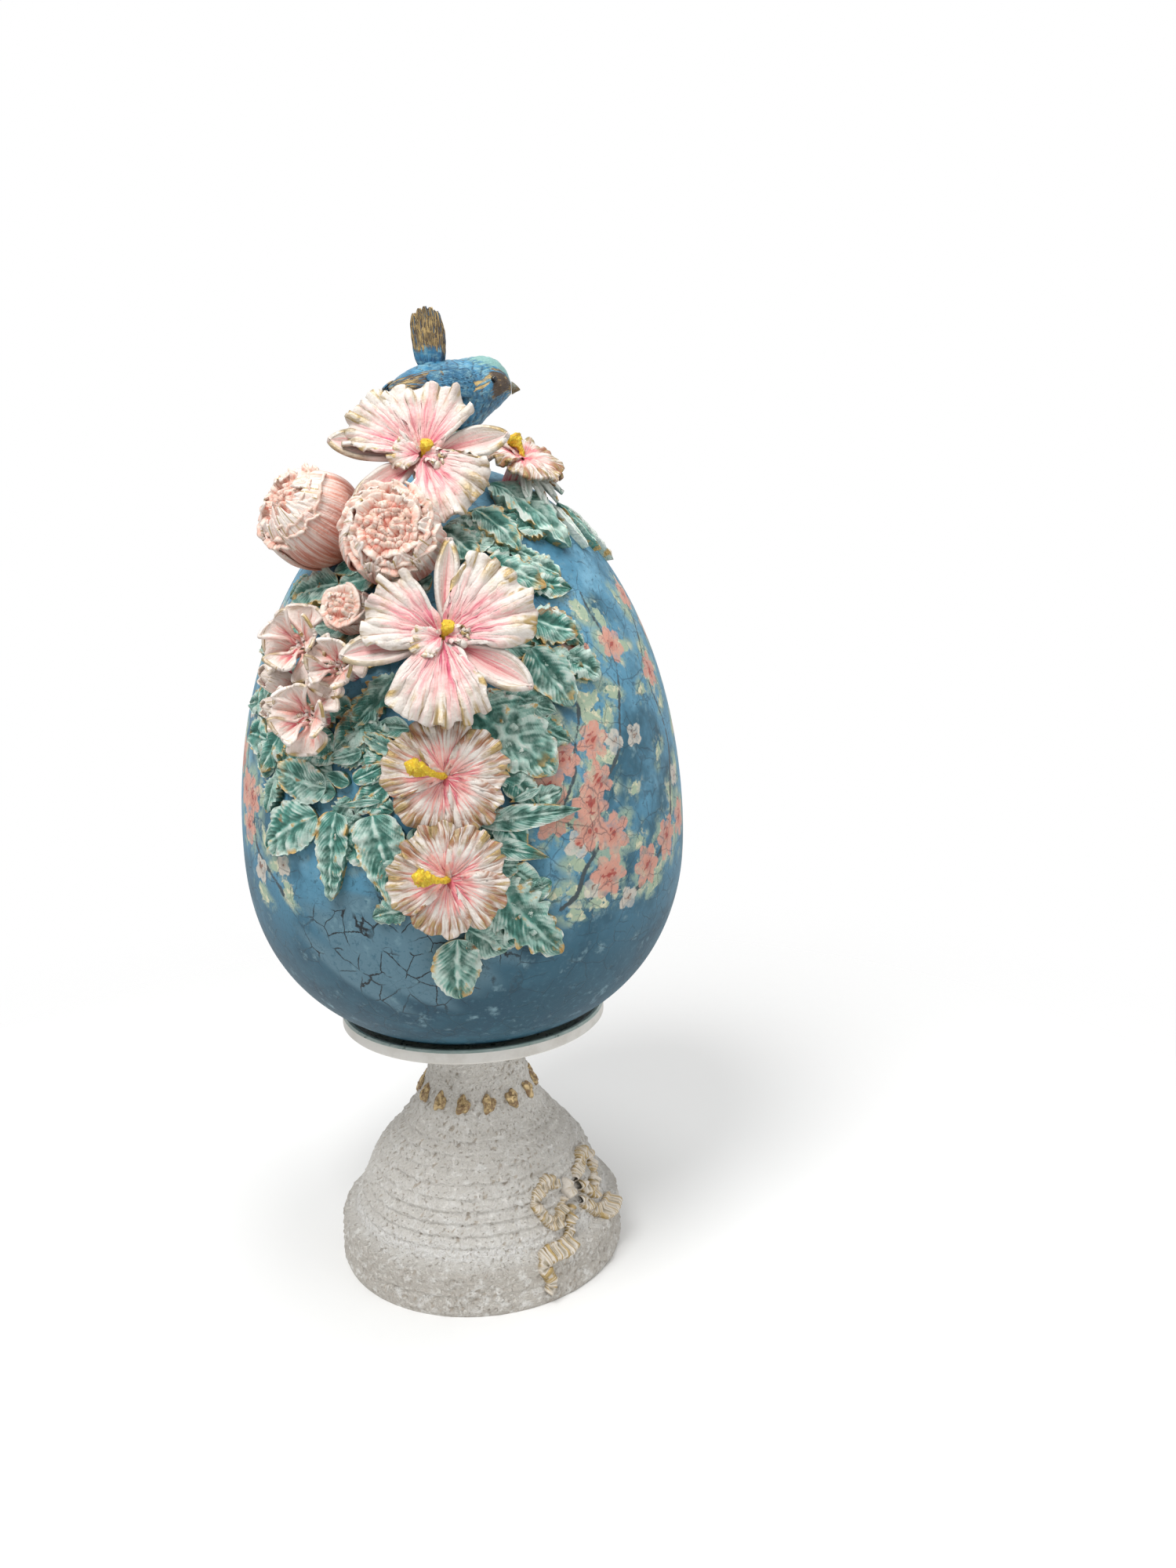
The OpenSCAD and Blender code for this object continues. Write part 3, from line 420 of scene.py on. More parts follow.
def add_piece(node: str, ending: str, sheets: Sequence[Sheet], finish: "Finish", slot: str,
              thickness: float = 0.0, body: str = "egg") -> None:
    """Make a piece out of sheets, set it on its body and hide the CAD node that it stands for.

    Args:
        node: CAD node that it replaces, or another name for detail that replaces none.
        ending: what follows the node's name in the piece's name.
        sheets: grids of points in millimetres.
        finish: finish that it is dressed in.
        slot: the record's material slot; not used.
        thickness: how far the sheets are thickened downwards, in millimetres.
        body: CAD body that it rides on.
    """
    faces, start = [], 0
    for sheet in sheets:
        rows, columns = sheet.points.shape[:2]
        index = np.arange(rows * columns).reshape(rows, columns) + start
        right = np.roll(index, -1, 1) if sheet.ring else index[:, 1:]
        left = index if sheet.ring else index[:, :-1]
        faces.append(np.stack([left[:-1], right[:-1], right[1:], left[1:]], -1).reshape(-1, 4))
        start += rows * columns
    mesh = bpy.data.meshes.new(node + ending)
    points = np.concatenate([sheet.points.reshape(-1, 3) for sheet in sheets])
    mesh.from_pydata(points * MM, [], np.concatenate(faces).tolist())
    for key in sheets[0].fields:
        values = np.concatenate([sheet.fields[key].ravel() for sheet in sheets]).astype(np.float32)
        kind, member = ("FLOAT_VECTOR", "vector") if key == "marks" else ("FLOAT", "value")
        mesh.attributes.new(key, kind, "POINT").data.foreach_set(member, values)
    mesh.polygons.foreach_set("use_smooth", np.ones(len(mesh.polygons), bool))
    mesh.update()
    mesh.materials.append(finish.material())
    piece = bpy.data.objects.new(node + ending, mesh)
    bpy.context.scene.collection.objects.link(piece)
    if thickness:
        shell = piece.modifiers.new("thickness", "SOLIDIFY")
        shell.thickness, shell.offset = thickness * MM, -1
    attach(piece, body)
    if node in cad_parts:
        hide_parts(node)
    LOG.info("%s rides on %s", piece.name, body)


# Finishes

@dataclass(frozen=True)
class Finish:
    """A named surface whose material is made once."""

    name: str

    def material(self) -> bpy.types.Material:
        """The finish's material, made at its first use.

        Returns:
            The material.
        """
        known = bpy.data.materials.get(self.name)
        if known:
            return known
        made = bpy.data.materials.new(self.name)
        made.use_nodes = True
        self.paint(Brush(made.node_tree, made.node_tree.nodes["Principled BSDF"]))
        return made

    def paint(self, brush: Brush) -> None:
        """Lay the finish's nodes."""
        raise NotImplementedError


@dataclass(frozen=True)
class PaintedPetal(Finish):
    """Cast ceramic petal under white slip, dry-brushed with pink and gold.

    The matt slip shows white, the pink runs out of the throat in thin streaks, and gold wax sits on the
    crests and rims only, where a dry brush touches. The shade colour lies in random darker patches and
    darkens the grooves as painted shade.
    """

    slip: str = "#e3dcd4"
    # shade: colour of random darker patches, and of the painted shade in the grooves
    shade: str = "#c9bab0"
    blush: str = "#f2b8b4"
    throat: str = "#d25672"
    tip: str = "#f3d9d2"
    reach: float = 0.75
    streaks: float = 12.0
    gold: float = 0.5
    tip_wash: float = 0.0
    bare_sides: float = 0.4

    def paint(self, brush: Brush) -> None:
        """Lay slip, pink streaks, gold and bump.

        Args:
            brush: the material's nodes.
        """
        add, worn, ranged = brush.add, brush.worn, brush.ranged
        marks = add("Attribute", {"attribute_name": "marks"}, "Vector")
        ridge = add("Attribute", {"attribute_name": "ridge"}, "Fac")
        body = add("TexCoord", output="Object")
        along = add("SeparateXYZ", {0: marks})
        across = along.node.outputs[1]

        def brushed(low: float, high: float, stretch: Sequence[float], detail: float = 5) -> Socket:
            """Mask of streaks that run along the petal."""
            return worn(marks, 1, low, high, stretch, detail, False)

        streak = brushed(0.4, 0.62, (1.4, self.streaks, 7.3))
        hair = brushed(0.25, 0.62, (2.4, self.streaks * 3, 3.1), 4)
        broad = brushed(0.36, 0.62, (1.1, self.streaks * 0.6, 5.1), 4)
        side = add("Math", {"operation": "MULTIPLY", 0: across, 1: across})
        outward = add("Math", {"operation": "MULTIPLY_ADD", 0: side, 1: self.bare_sides, 2: along})
        frayed = add("Math", {"operation": "MULTIPLY_ADD", 0: streak, 1: -0.36, 2: outward})
        crest = ranged(ridge, -0.35, 0.45, ranged(along, 0.6, 0.94, brushed(
            0.62 - 0.2 * self.gold, 0.72 - 0.16 * self.gold, (2.0, 11, 3.7))))
        lined = ranged(ridge, 0.35, 0.95, brushed(
            0.62 - 0.12 * self.gold, 0.74 - 0.1 * self.gold, (1.3, 6, 2.9), 4))
        wax = add("Math", {"operation": "MAXIMUM", 0: crest, 1: lined})
        wax = add("Math", {"operation": "MULTIPLY", 0: wax, 1: min(1.7 * self.gold, 1)})
        tinted = add("Math", {"operation": "MULTIPLY", 0: streak, 1: self.tip_wash})
        colour = brush.coats(self.slip, [
            (worn(body, 9, 0.5, 0.75), self.shade),
            # painted shade: the grooves, where ridge is low, are darkened with the shade colour
            (ranged(ridge, 0.0, -1.0, hair), self.shade),
            (ranged(frayed, self.reach, self.reach * 0.35, hair), self.blush),
            (ranged(frayed, self.reach * 0.75, self.reach * 0.05, broad), self.throat),
            (ranged(along, 0.5, 0.85, tinted), self.tip),
            (worn(body, 0.9, 0.73, 0.76, detail=2), "#8fa9b0"),
            (wax, "#a8905f"),
            (ranged(hair, 0.55, 0.0, wax), "#716040"),
        ])
        fine = add("Math", {"operation": "MULTIPLY_ADD", 0: streak, 1: 0.5, 2: worn(body, 1.2, 0.3, 0.7)})
        rough = add("MapRange", {"To Min": 0.56, "To Max": 0.36, "Value": wax})
        brush.dress(colour, rough, (fine, 0.5, 0.35), wax)


@dataclass(frozen=True)
class PaintedLeaf(Finish):
    """Cast ceramic leaf, washed in sea green and rubbed back to the white slip.

    The wash lies in the grooves and leaves the veins pale, the deepest grooves get a darker green that is
    partly pooled wash and partly painted shade, the crests get a near-white painted highlight, and gold wax
    lies on rims and veins.
    """

    slip: str = "#c9ddd2"
    mint: str = "#8ebbad"
    wash: str = "#3a8c7e"
    # darkest green in the deepest grooves, partly pooled wash and partly painted shade
    pool_and_shade: str = "#135547"
    gold: float = 0.5
    green: float = 1.0

    def paint(self, brush: Brush) -> None:
        """Lay slip, washes, gold and bump.

        Args:
            brush: the material's nodes.
        """
        add, worn, ranged = brush.add, brush.worn, brush.ranged
        along = add("SeparateXYZ", {0: add("Attribute", {"attribute_name": "marks"}, "Vector")})
        ridge = add("Attribute", {"attribute_name": "ridge"}, "Fac")
        body = add("TexCoord", output="Object")
        across = add("Math", {"operation": "ABSOLUTE", 0: along.node.outputs[1]})
        rim = add("Math", {"operation": "MAXIMUM", 0: along, 1: across})
        grain, patch = worn(body, 5, 0.34, 0.62), worn(body, 14, 0.36, 0.62)
        gilded = ranged(rim, 0.72, 0.96, worn(body, 7, 0.6 - 0.2 * self.gold, 0.68 - 0.16 * self.gold))
        veined = ranged(ridge, -0.1, 0.6, worn(body, 9, 0.66 - 0.14 * self.gold, 0.72 - 0.14 * self.gold))
        wax = add("Math", {"operation": "MAXIMUM", 0: gilded, 1: veined})
        deep = add("Math", {"operation": "MULTIPLY", 0: patch, 1: 0.9 * self.green})
        fair = add("Math", {"operation": "MULTIPLY_ADD", 0: grain, 1: 0.5, 2: 0.4})
        colour = brush.coats(self.slip, [
            (grain, self.mint, 0.85 * self.green),
            (ranged(ridge, 0.45, -0.1, deep), self.wash),
            # pooled wash and painted shade: darkest green where the ridge is lowest
            (ranged(ridge, 0.1, -0.6, fair), self.pool_and_shade),
            # painted highlight: near-white on the crests of the relief
            (ranged(ridge, 0.3, 0.8, grain), "#dfe6dd"),
            (ranged(ridge, -0.4, 0.5, worn(body, 10, 0.6, 0.66)), "#8a6a44"),
            (wax, "#c3a266"),
        ])
        rough = add("MapRange", {"To Min": 0.5, "To Max": 0.34, "Value": wax})
        brush.dress(colour, rough, (worn(body, 1.5, 0.28, 0.72, detail=6), 0.6, 0.5), wax)


@dataclass(frozen=True)
class YellowStamen(Finish):
    """Thick yellow acrylic over a rough clay stamen, which gives a lumpy satin yellow."""

    def paint(self, brush: Brush) -> None:
        """Lay yellow over ochre, with lumps.

        Args:
            brush: the material's nodes.
        """
        body = brush.add("TexCoord", output="Object")
        lumps = brush.worn(body, 1.3, 0.35, 0.65)
        colour = brush.coats("#e3b21f", [(lumps, "#f6da3c"), (brush.worn(body, 3, 0.6, 0.7), "#e98f2a")])
        brush.dress(colour, 0.42, (lumps, 0.9, 0.5))


@dataclass(frozen=True)
class PaintedEgg(Finish):
    """Ceramic egg in blue acrylic with brushed blossoms, under a varnish that has crackled.

    The varnish gives a satin skin, and dark stain sits in its cracks, widest on the grey patch in front.
    """

    def paint(self, brush: Brush) -> None:
        """Lay the blue ground, the blossoms, the cracks and the varnish.

        Args:
            brush: the material's nodes.
        """
        add, worn, ranged = brush.add, brush.worn, brush.ranged
        body = add("TexCoord", output="Object")
        height = add("SeparateXYZ", {0: body}, 2)
        salmon, white, twig, sprig, heart, spoke, patch = (
            add("Attribute", {"attribute_name": key}, "Fac")
            for key in ("salmon", "white", "twig", "sprig", "heart", "spoke", "patch"))
        dabs = add("TexNoise", {"Scale": 260.0, "Detail": 5.0, "Roughness": 0.7, "Vector": body}, "Fac")
        soft = add("TexNoise", {"Scale": 70.0, "Detail": 3.0, "Vector": body}, "Fac")

        def shaken(gap: Socket, fine: float, coarse: float) -> Socket:
            """Mask inside a motif's outline, whose distance is shaken by noise of 4 and 14 mm.

            Args:
                gap: distance from the outline in millimetres.
                fine: millimetres that the fine noise adds.
                coarse: millimetres that the coarse noise adds.

            Returns:
                Socket of the mask, from 0 to 1.
            """
            for noise, amount in ((dabs, fine), (soft, coarse)):
                gap = add("Math", {"operation": "MULTIPLY_ADD", 0: noise, 1: amount, 2: gap})
            middle = (fine + coarse) / 2
            return ranged(gap, middle + 0.45, middle - 0.25)

        near = add("Math", {"operation": "MINIMUM", 0: sprig, 1: salmon})
        green = shaken(sprig, 5.0, 3.0)
        colour = brush.coats("#5a92ad", [
            (worn(body, 60, 0.38, 0.66), "#4a829e"),
            (worn(body, 22, 0.5, 0.72), "#76a9c2"),
            # painted shade: the egg darkens towards the bottom, below 225 mm and again in patches below 210
            # mm
            (ranged(height, 0.225, 0.15), "#1a4759"),
            (worn(body, 30, 0.44, 0.66), "#2c5a6d"),
            (ranged(height, 0.21, 0.16, worn(body, 16, 0.46, 0.62)), "#1b4558"),
            (patch, "#587a89"),
            (worn(body, 8, 0.56, 0.76), "#7699a4"),
            (worn(body, 2.2, 0.54, 0.72), "#3a6375"),
            (ranged(near, 8.0, 1.0, worn(body, 9, 0.44, 0.58)), "#93ab9b"),
            (ranged(near, 6.0, 0.0, worn(body, 6, 0.54, 0.62)), "#c6c6ac"),
            (ranged(near, 5.0, 0.0, worn(body, 4, 0.58, 0.64)), "#56797a"),
            (green, "#a3b59c"),
            (green, "#d7d3b4", worn(body, 4, 0.5, 0.62)),
            (green, "#5f7f74", worn(body, 3, 0.6, 0.68)),
            (shaken(twig, 3.0, 1.4), "#3b474b"),
        ])
        tone = worn(body, 5, 0.35, 0.65)
        inner, core = ranged(heart, 0.5, 0.1), ranged(heart, 0.16, 0.1)
        stamens = ranged(spoke, 0.35, 0.8, ranged(heart, 0.5, 0.4))
        for petal, light, deep, ink in ((shaken(white, 4.0, 2.4), "#d6d0c4", "#a99c90", "#77503f"),
                                        (shaken(salmon, 5.0, 3.0), "#d9a593", "#c17c6a", "#9c3a33")):
            colour = brush.coats(colour, [(ranged(tone, -0.8, 0.9, petal), light)] + [
                (add("Math", {"operation": "MULTIPLY", 0: mask, 1: petal}), stain, share)
                for mask, share, stain in ((tone, 0.4, deep), (inner, 0.7, deep), (stamens, 0.8, ink),
                                           (core, 0.8, ink))])
        bent = body
        for noise, metres in ((soft, 0.006), (dabs, 0.002)):
            bent = add("VectorMath", {"operation": "MULTIPLY_ADD", 0: noise.node.outputs["Color"],
                                      1: (metres,) * 3, 2: bent})
        wide, fine = (add("TexVoronoi", {"feature": "DISTANCE_TO_EDGE", "Scale": 1000 / size_mm,
                                         "Vector": bent}, "Distance") for size_mm in (10, 4.5))
        wide_crack = ranged(wide, 0.032, 0.01, ranged(soft, 0.42, 0.52))
        fine_crack = ranged(fine, 0.035, 0.012, worn(body, 25, 0.42, 0.6))
        colour = brush.coats(colour, [
            (worn(body, 1.0, 0.5, 0.8, detail=5), "#3f6473", 0.35), (fine_crack, "#2c4a58", 0.32),
            (wide_crack, "#1f3843", 0.45), (wide_crack, "#111c21", patch)])
        brush.shader.inputs["Specular IOR Level"].default_value = 0.35
        relief = add("Math", {"operation": "MULTIPLY_ADD", 0: wide_crack, 1: -0.9, 2: dabs})
        brush.dress(colour, 0.55, (relief, 0.45, 0.35))


@dataclass(frozen=True)
class StuccoFoot(Finish):
    """Thrown ceramic under a coarse stucco wash, chalky and pitted, with rust-brown specks in the pits."""

    # Heights in metres: top of the wall, rim of the ledge, and start, full and end of the painted highlight
    # on the ledge
    ledge: tuple[float, float, float, float, float] = (0.0205, 0.0222, 0.024, 0.028, 0.031)

    def paint(self, brush: Brush) -> None:
        """Lay the chalky wash, a painted highlight on the ledge over a wall darkened as painted shade, the
        specks and the pits.

        Args:
            brush: the material's nodes.
        """
        add, worn, ranged = brush.add, brush.worn, brush.ranged
        body = add("TexCoord", output="Object")
        ridge = add("Attribute", {"attribute_name": "ridge"}, "Fac")
        height = add("SeparateXYZ", {0: body}, 2)
        wall, rim, start, full, end = self.ledge
        grit = worn(body, 1.7, 0.3, 0.7, detail=5)
        pits = worn(body, 1.5, 0.6, 0.68, detail=3)
        colour = brush.coats("#e6e3dd", [
            (worn(body, 34, 0.35, 0.65, (0.5, 0.5, 3)), "#dad6cf"),
            # painted shade: the band's wall below the ledge's rim is darker; painted highlight: the ledge
            # above it is lighter
            (ranged(height, rim, wall), "#c9c3ba"),
            (ranged(height, rim, start, ranged(height, end, full)), "#ebe9e5"),
            (ranged(grit, 0.5, 0.1), "#d6d2ca"),
            (worn(body, 5, 0.5, 0.7), "#eceae5"),
            (ranged(ridge, -0.2, -0.9), "#c3b9ac"),
            (pits, "#c2b9ad"),
            (worn(body, 1.3, 0.68, 0.74), "#a3896f"),
        ])
        relief = add("Math", {"operation": "MULTIPLY_ADD", 0: pits, 1: -0.8, 2: grit})
        brush.dress(colour, 0.8, (relief, 0.9, 0.9))


@dataclass(frozen=True)
class TwoGlazeSaucer(Finish):
    """Saucer with a green gloss glaze inside and a bare white slip on its rim and underside."""

    def paint(self, brush: Brush) -> None:
        """Lay the glaze on what faces up and the slip elsewhere.

        Args:
            brush: the material's nodes.
        """
        add, worn, ranged = brush.add, brush.worn, brush.ranged
        body = add("TexCoord", output="Object")
        glazed = ranged(add("SeparateXYZ", {0: body.node.outputs["Normal"]}, 2), 0.12, 0.3)
        slip = brush.coats("#d8d5cf", [(worn(body, 14, 0.45, 0.7), "#ccc8c0")])
        glaze = brush.coats("#b3c4bb", [(worn(body, 7, 0.45, 0.7), "#c6d2cb"),
                                        (worn(body, 4, 0.55, 0.7), "#6c8076"),
                                        (worn(body, 2, 0.69, 0.73), "#b49a5c")])
        colour = add("Mix", {"data_type": "RGBA", 0: glazed, 6: slip, 7: glaze}, 2)
        rough = add("MapRange", {"To Min": 0.6, "To Max": 0.22, "Value": glazed})
        brush.dress(colour, rough, (worn(body, 4, 0.3, 0.7), 0.35, 0.4))


@dataclass(frozen=True)
class GoldWax(Finish):
    """Gold wax rubbed over a clay lump: warm metal on the crests, brown in the dents."""

    def paint(self, brush: Brush) -> None:
        """Lay brown, gold and dents."""
        rubbed = brush.worn(brush.add("TexCoord", output="Object"), 2.6, 0.36, 0.6)
        brush.dress(brush.coats("#86694a", [(rubbed, "#c9b184")]), 0.38, (rubbed, 0.9, 0.6), rubbed)


@dataclass(frozen=True)
class PaintedFeathers(Finish):
    """Ceramic bird in blue acrylic, with pale teal rubbed over the crown and bronze over mask and quills."""

    ground: str = "#2b6b8e"
    groove: str = "#143a50"
    light: str = "#3f8db5"

    def paint(self, brush: Brush) -> None:
        """Lay blue, teal, bronze and the feathers' relief.

        Args:
            brush: the material's nodes.
        """
        add, worn, ranged = brush.add, brush.worn, brush.ranged
        marks = add("Attribute", {"attribute_name": "marks"}, "Vector")
        ridge, *fields = (add("Attribute", {"attribute_name": key}, "Fac")
                          for key in ("ridge", "crown", "bronze", "gold"))
        body = add("TexCoord", output="Object")
        barbs = worn(marks, 1, 0.36, 0.62, (10, 34, 3), 5, False)
        crown, bronze, gold = (ranged(add("Math", {"operation": "MULTIPLY_ADD", 0: barbs, 1: 0.5, 2: amount}),
                                      0.55, 0.95) for amount in fields)
        strokes = worn(body, 2.2, 0.45, 0.7, (0.35, 1, 1))
        colour = brush.coats(self.ground, [
            (worn(body, 9, 0.4, 0.66), self.light), (strokes, "#7fb0bf"),
            (ranged(ridge, -0.2, -1.0, barbs), self.groove),
            (crown, "#83b3ae"), (bronze, "#4d3b29"),
            (ranged(strokes, 0.3, 0.8, bronze), "#a08355"),
            (gold, "#c9ad74"),
        ])
        brush.dress(colour, 0.4, (barbs, 0.7, 0.5), gold, 0.5)


@dataclass(frozen=True)
class GlossBead(Finish):
    """Black gloss enamel bead."""

    def paint(self, brush: Brush) -> None:
        """Lay near-black with a brown cast and a hard gloss."""
        spots = brush.worn(brush.add("TexCoord", output="Object"), 1.5, 0.55, 0.7)
        brush.dress(brush.coats("#0e0b0a", [(spots, "#2a1c14")]), 0.12)


WHITE_PETAL = PaintedPetal("Slip-painted orchid petal", reach=0.88, gold=0.85, bare_sides=0.3)
SEPAL = PaintedPetal("Slip-painted orchid sepal", reach=1.0, throat="#cf4a63", streaks=7, gold=0.8,
                     bare_sides=0.7)
HIBISCUS = PaintedPetal("Slip-painted hibiscus petal", reach=0.62, throat="#cf4f66", blush="#eea49a",
                        tip="#9a6242", tip_wash=1.0, gold=0.85, streaks=12, bare_sides=0.1)
PEONY_OUTER = PaintedPetal("Salmon-washed peony petal", slip="#ece2da", shade="#d9bcae", blush="#e2a08c",
                           throat="#bf6c56", reach=0.86, streaks=11, gold=0.6, bare_sides=-0.1)
PEONY_HEART = PaintedPetal("Salmon-washed peony heart", slip="#f0ddd0", shade="#e9c6b4", blush="#e6a08a",
                           throat="#c65f4f", reach=0.95, streaks=6, gold=0.3, bare_sides=0.0)
CLUSTER = PaintedPetal("Blush-washed magnolia petal", slip="#f0e4dc", blush="#eeb0a0", throat="#cb4862",
                       reach=0.72, streaks=5, gold=0.95, bare_sides=0.4)
# the ribbon's olive shade colour is painted shade in the grooves between its pleats
RIBBON = PaintedPetal("Slip and gold wax on ribbon", slip="#ddd5ca", shade="#93866a", blush="#d8cfc1",
                      throat="#d3c6b4", reach=0.2, streaks=14, gold=0.95, bare_sides=0.0)
STAMEN = YellowStamen("Yellow-painted stamen")
BLUE_FEATHERS = PaintedFeathers("Blue acrylic on cast feathers")
GREEN_LEAF = PaintedLeaf("Sea-green washed leaf")
GILT_LEAF = PaintedLeaf("Sea-green leaf rubbed with gold wax", gold=0.85)
PALE_LEAF = PaintedLeaf("Pale leaf in white slip", slip="#e6eae4", mint="#d4e0d8", wash="#bcd3c6",
                        pool_and_shade="#86a899", gold=0.2, green=0.45)


# Pieces

class Edge(Enum):
    """Outline of a petal, as the power by which its reach falls off towards its sides."""

    FAN = 6.0
    SPOON = 2.2

    def reach(self, t: Array) -> Array:
        """Share of the petal's reach at t, from -1 to 1 across the petal."""
        return np.clip(1 - np.abs(t) ** self.value, 0, 1) ** 0.5


@dataclass(frozen=True)
class PetalForm:
    """Relief of a petal: all heights in millimetres."""

    edge: Edge
    rise: float = 4.0
    droop: float = 3.0
    cup: float = 1.5
    ruffle: float = 1.6
    folds: float = 4.0
    ray: float = 0.22
    rays: float = 26.0
    scallop: float = 0.04
    skew: float = 0.0
    lip: float = 1.2

    def sheet(self, seat: Seat, direction: float, half_angle: float, reach: float, base: float,
              seed: int, core: float = 2.0, rows: int = 34, columns: int = 96) -> Sheet:
        """Shape one petal that fans out from the heart.

        Args:
            seat: the bloom's seat.
            direction: degrees from the right, counterclockwise.
            half_angle: degrees from the petal's middle to its side.
            reach: length in millimetres.
            base: height of the heart's end over the seat.
            seed: seed of the petal's own waves.
            core: radius at which the petal starts.
            rows: points along the petal.
            columns: points across it.

        Returns:
            The petal's sheet.
        """
        rng = np.random.default_rng(seed)
        u, t = span(0, 1, rows), span(-1, 1, columns).T
        phase = math.pi * self.folds * t + rng.uniform(0, 6.3) + 1.4 * wander(t, rng, 0.7)
        wave = np.sin(phase + 0.5 * np.sin(phase)) * (0.75 + 0.35 * wander(t, rng, 0.8))
        crinkle = wander(t + 0.06 * u, rng, self.folds * 0.9)
        ray_phase = self.rays * t * (1 + 0.05 * u) + 2.4 * wander(t, rng, 0.9) + 0.6 * np.sin(3 * u)
        ray = (np.sin(ray_phase) + 0.6 * np.sin(1.9 * ray_phase + 1)) / 1.3
        notch = self.scallop * (0.4 * wave + wander(t, rng, self.folds * 0.5)) + 0.004 * ray
        rim = reach * self.edge.reach(t) * (1 + notch)
        r = core + np.maximum(rim - core, 0) * u
        share = r / reach
        late = np.clip(share, 0, 1.05) ** 3.2
        lip = smoothstep(u, 0.8, 1.0) * (1 + 0 * t)
        back = smoothstep(wander(t, rng, 1.6), -0.5, 0.7)
        roll = self.ruffle * 0.5 * late * np.cos(phase)
        turn = np.radians(direction + half_angle * t + 1.2 * np.sin(2.5 * u + seed) * u)
        turn = turn + roll / np.maximum(r, 2)
        z = base + self.rise * np.sin(np.minimum(share, 1) * math.pi / 2) - self.droop * share ** 4
        z = z + self.cup * np.abs(t) ** 1.6 * np.sin(math.pi * np.clip(share, 0, 1) ** 0.8)
        z = z + self.ruffle * late * (wave + 0.4 * crinkle) + self.skew * t * np.minimum(2 * u, 1)
        z = z + self.lip * lip * (0.7 - 1.9 * back)
        r = r - self.lip * 0.7 * lip ** 2 * back
        envelope = np.sin(math.pi * np.clip(u * 0.8 + 0.06, 0, 1)) ** 0.5 * (0.35 + 0.65 * u)
        dent = crumple(grid(r * np.cos(turn), r * np.sin(turn), 0 * z), 4.5, seed)
        z = z + self.ray * ray * envelope + 0.22 * dent
        ridge = 0.4 * ray * envelope + 0.6 * wave * late + 0.3 * crinkle * late + 0.25 * dent + 0.4 * lip
        marked = share + (1 - share) * u ** 5
        return Sheet.of(seat.around(r, turn, z), marked, t, seed % 17, np.clip(ridge, -1, 1))


@dataclass(frozen=True)
class BoatForm:
    """Relief of a boat-shaped sepal, in millimetres: hollow along its middle, with thick raised sides."""

    width: float = 12.0
    cup: float = 3.4
    rise: float = 2.0
    tip_curl: float = 2.2
    belly: float = 0.58

    def sheet(self, seat: Seat, direction: float, reach: float, base: float, seed: int) -> Sheet:
        """Shape one sepal.

        Args:
            seat: the bloom's seat.
            direction: degrees from the right, counterclockwise.
            reach: length in millimetres.
            base: height of the heart's end over the seat.
            seed: seed of the sepal's own waves.

        Returns:
            The sepal's sheet.
        """
        rng = np.random.default_rng(seed)
        s, c = span(0, 1, 44), span(-1, 1, 37).T
        side = np.abs(c)
        fat = np.sin(math.pi * np.clip(s * 0.98, 0, 1) ** (math.log(0.5) / math.log(self.belly))) ** 0.62
        half = self.width / 2 * np.maximum(fat, 0.32 * (1 - s))
        half = half * (1 + 0.05 * wander(s + 0.2 * np.sign(c), rng, 1.6))
        along = 2 + (reach - 2) * (s - 0.02 * side ** 2 * s)
        across = c * half + 0.05 * self.width * np.sin(2.2 * s + seed) * s
        hollow = side ** 2.2 - 0.5 * np.exp(-(c / 0.16) ** 2)
        lines = np.sin(11 * c + 1.5 * np.sin(5 * s + seed) + wander(c, rng, 1.0))
        z = base + self.rise * np.sin(s * math.pi * 0.62)
        z = z + self.cup * hollow * (0.25 + 0.75 * np.sin(math.pi * s) ** 0.6) + self.tip_curl * s ** 4
        z = z + 0.16 * lines * np.sin(math.pi * s) + 0.25 * wander(s + 0.3 * c, rng, 1.8) * side
        turn = math.radians(direction)
        x = along * math.cos(turn) - across * math.sin(turn)
        y = along * math.sin(turn) + across * math.cos(turn)
        ridge = np.clip(1.5 * side ** 2 - 0.75 + 0.35 * lines * (1 - side), -1, 1)
        return Sheet.of(seat.at(x, y, z), 0.12 + 0.88 * s, 0.9 * c, seed % 17, ridge)


def tube_sheet(path: Array, radii: Array, seed: int, sides: int = 12, lumps: float = 0.0) -> Sheet:
    """Shape a round tube along a path.

    Args:
        path: points in millimetres.
        radii: radius at each point.
        seed: seed of its lumps.
        sides: points round the tube.
        lumps: share of the radius by which it is lumpy.

    Returns:
        The tube's sheet.
    """
    rng = np.random.default_rng(seed)
    along = np.gradient(path, axis=0)
    along /= np.linalg.norm(along, axis=1, keepdims=True)
    helper = np.where(np.abs(along[:, 2:3]) > 0.9, np.array([[1.0, 0, 0]]), np.array([[0, 0, 1.0]]))
    side = np.cross(along, helper)
    side /= np.linalg.norm(side, axis=1, keepdims=True)
    other = np.cross(along, side)
    angle = turns(sides)
    rough = 1 + lumps * rng.uniform(-1, 1, (len(path), sides))
    ring = side[:, None] * np.cos(angle)[..., None] + other[:, None] * np.sin(angle)[..., None]
    points = path[:, None] + ring * (radii[:, None] * rough)[..., None]
    return Sheet.of(points, span(0, 1, len(path)), np.cos(angle), seed % 13, rough - 1, ring=True)


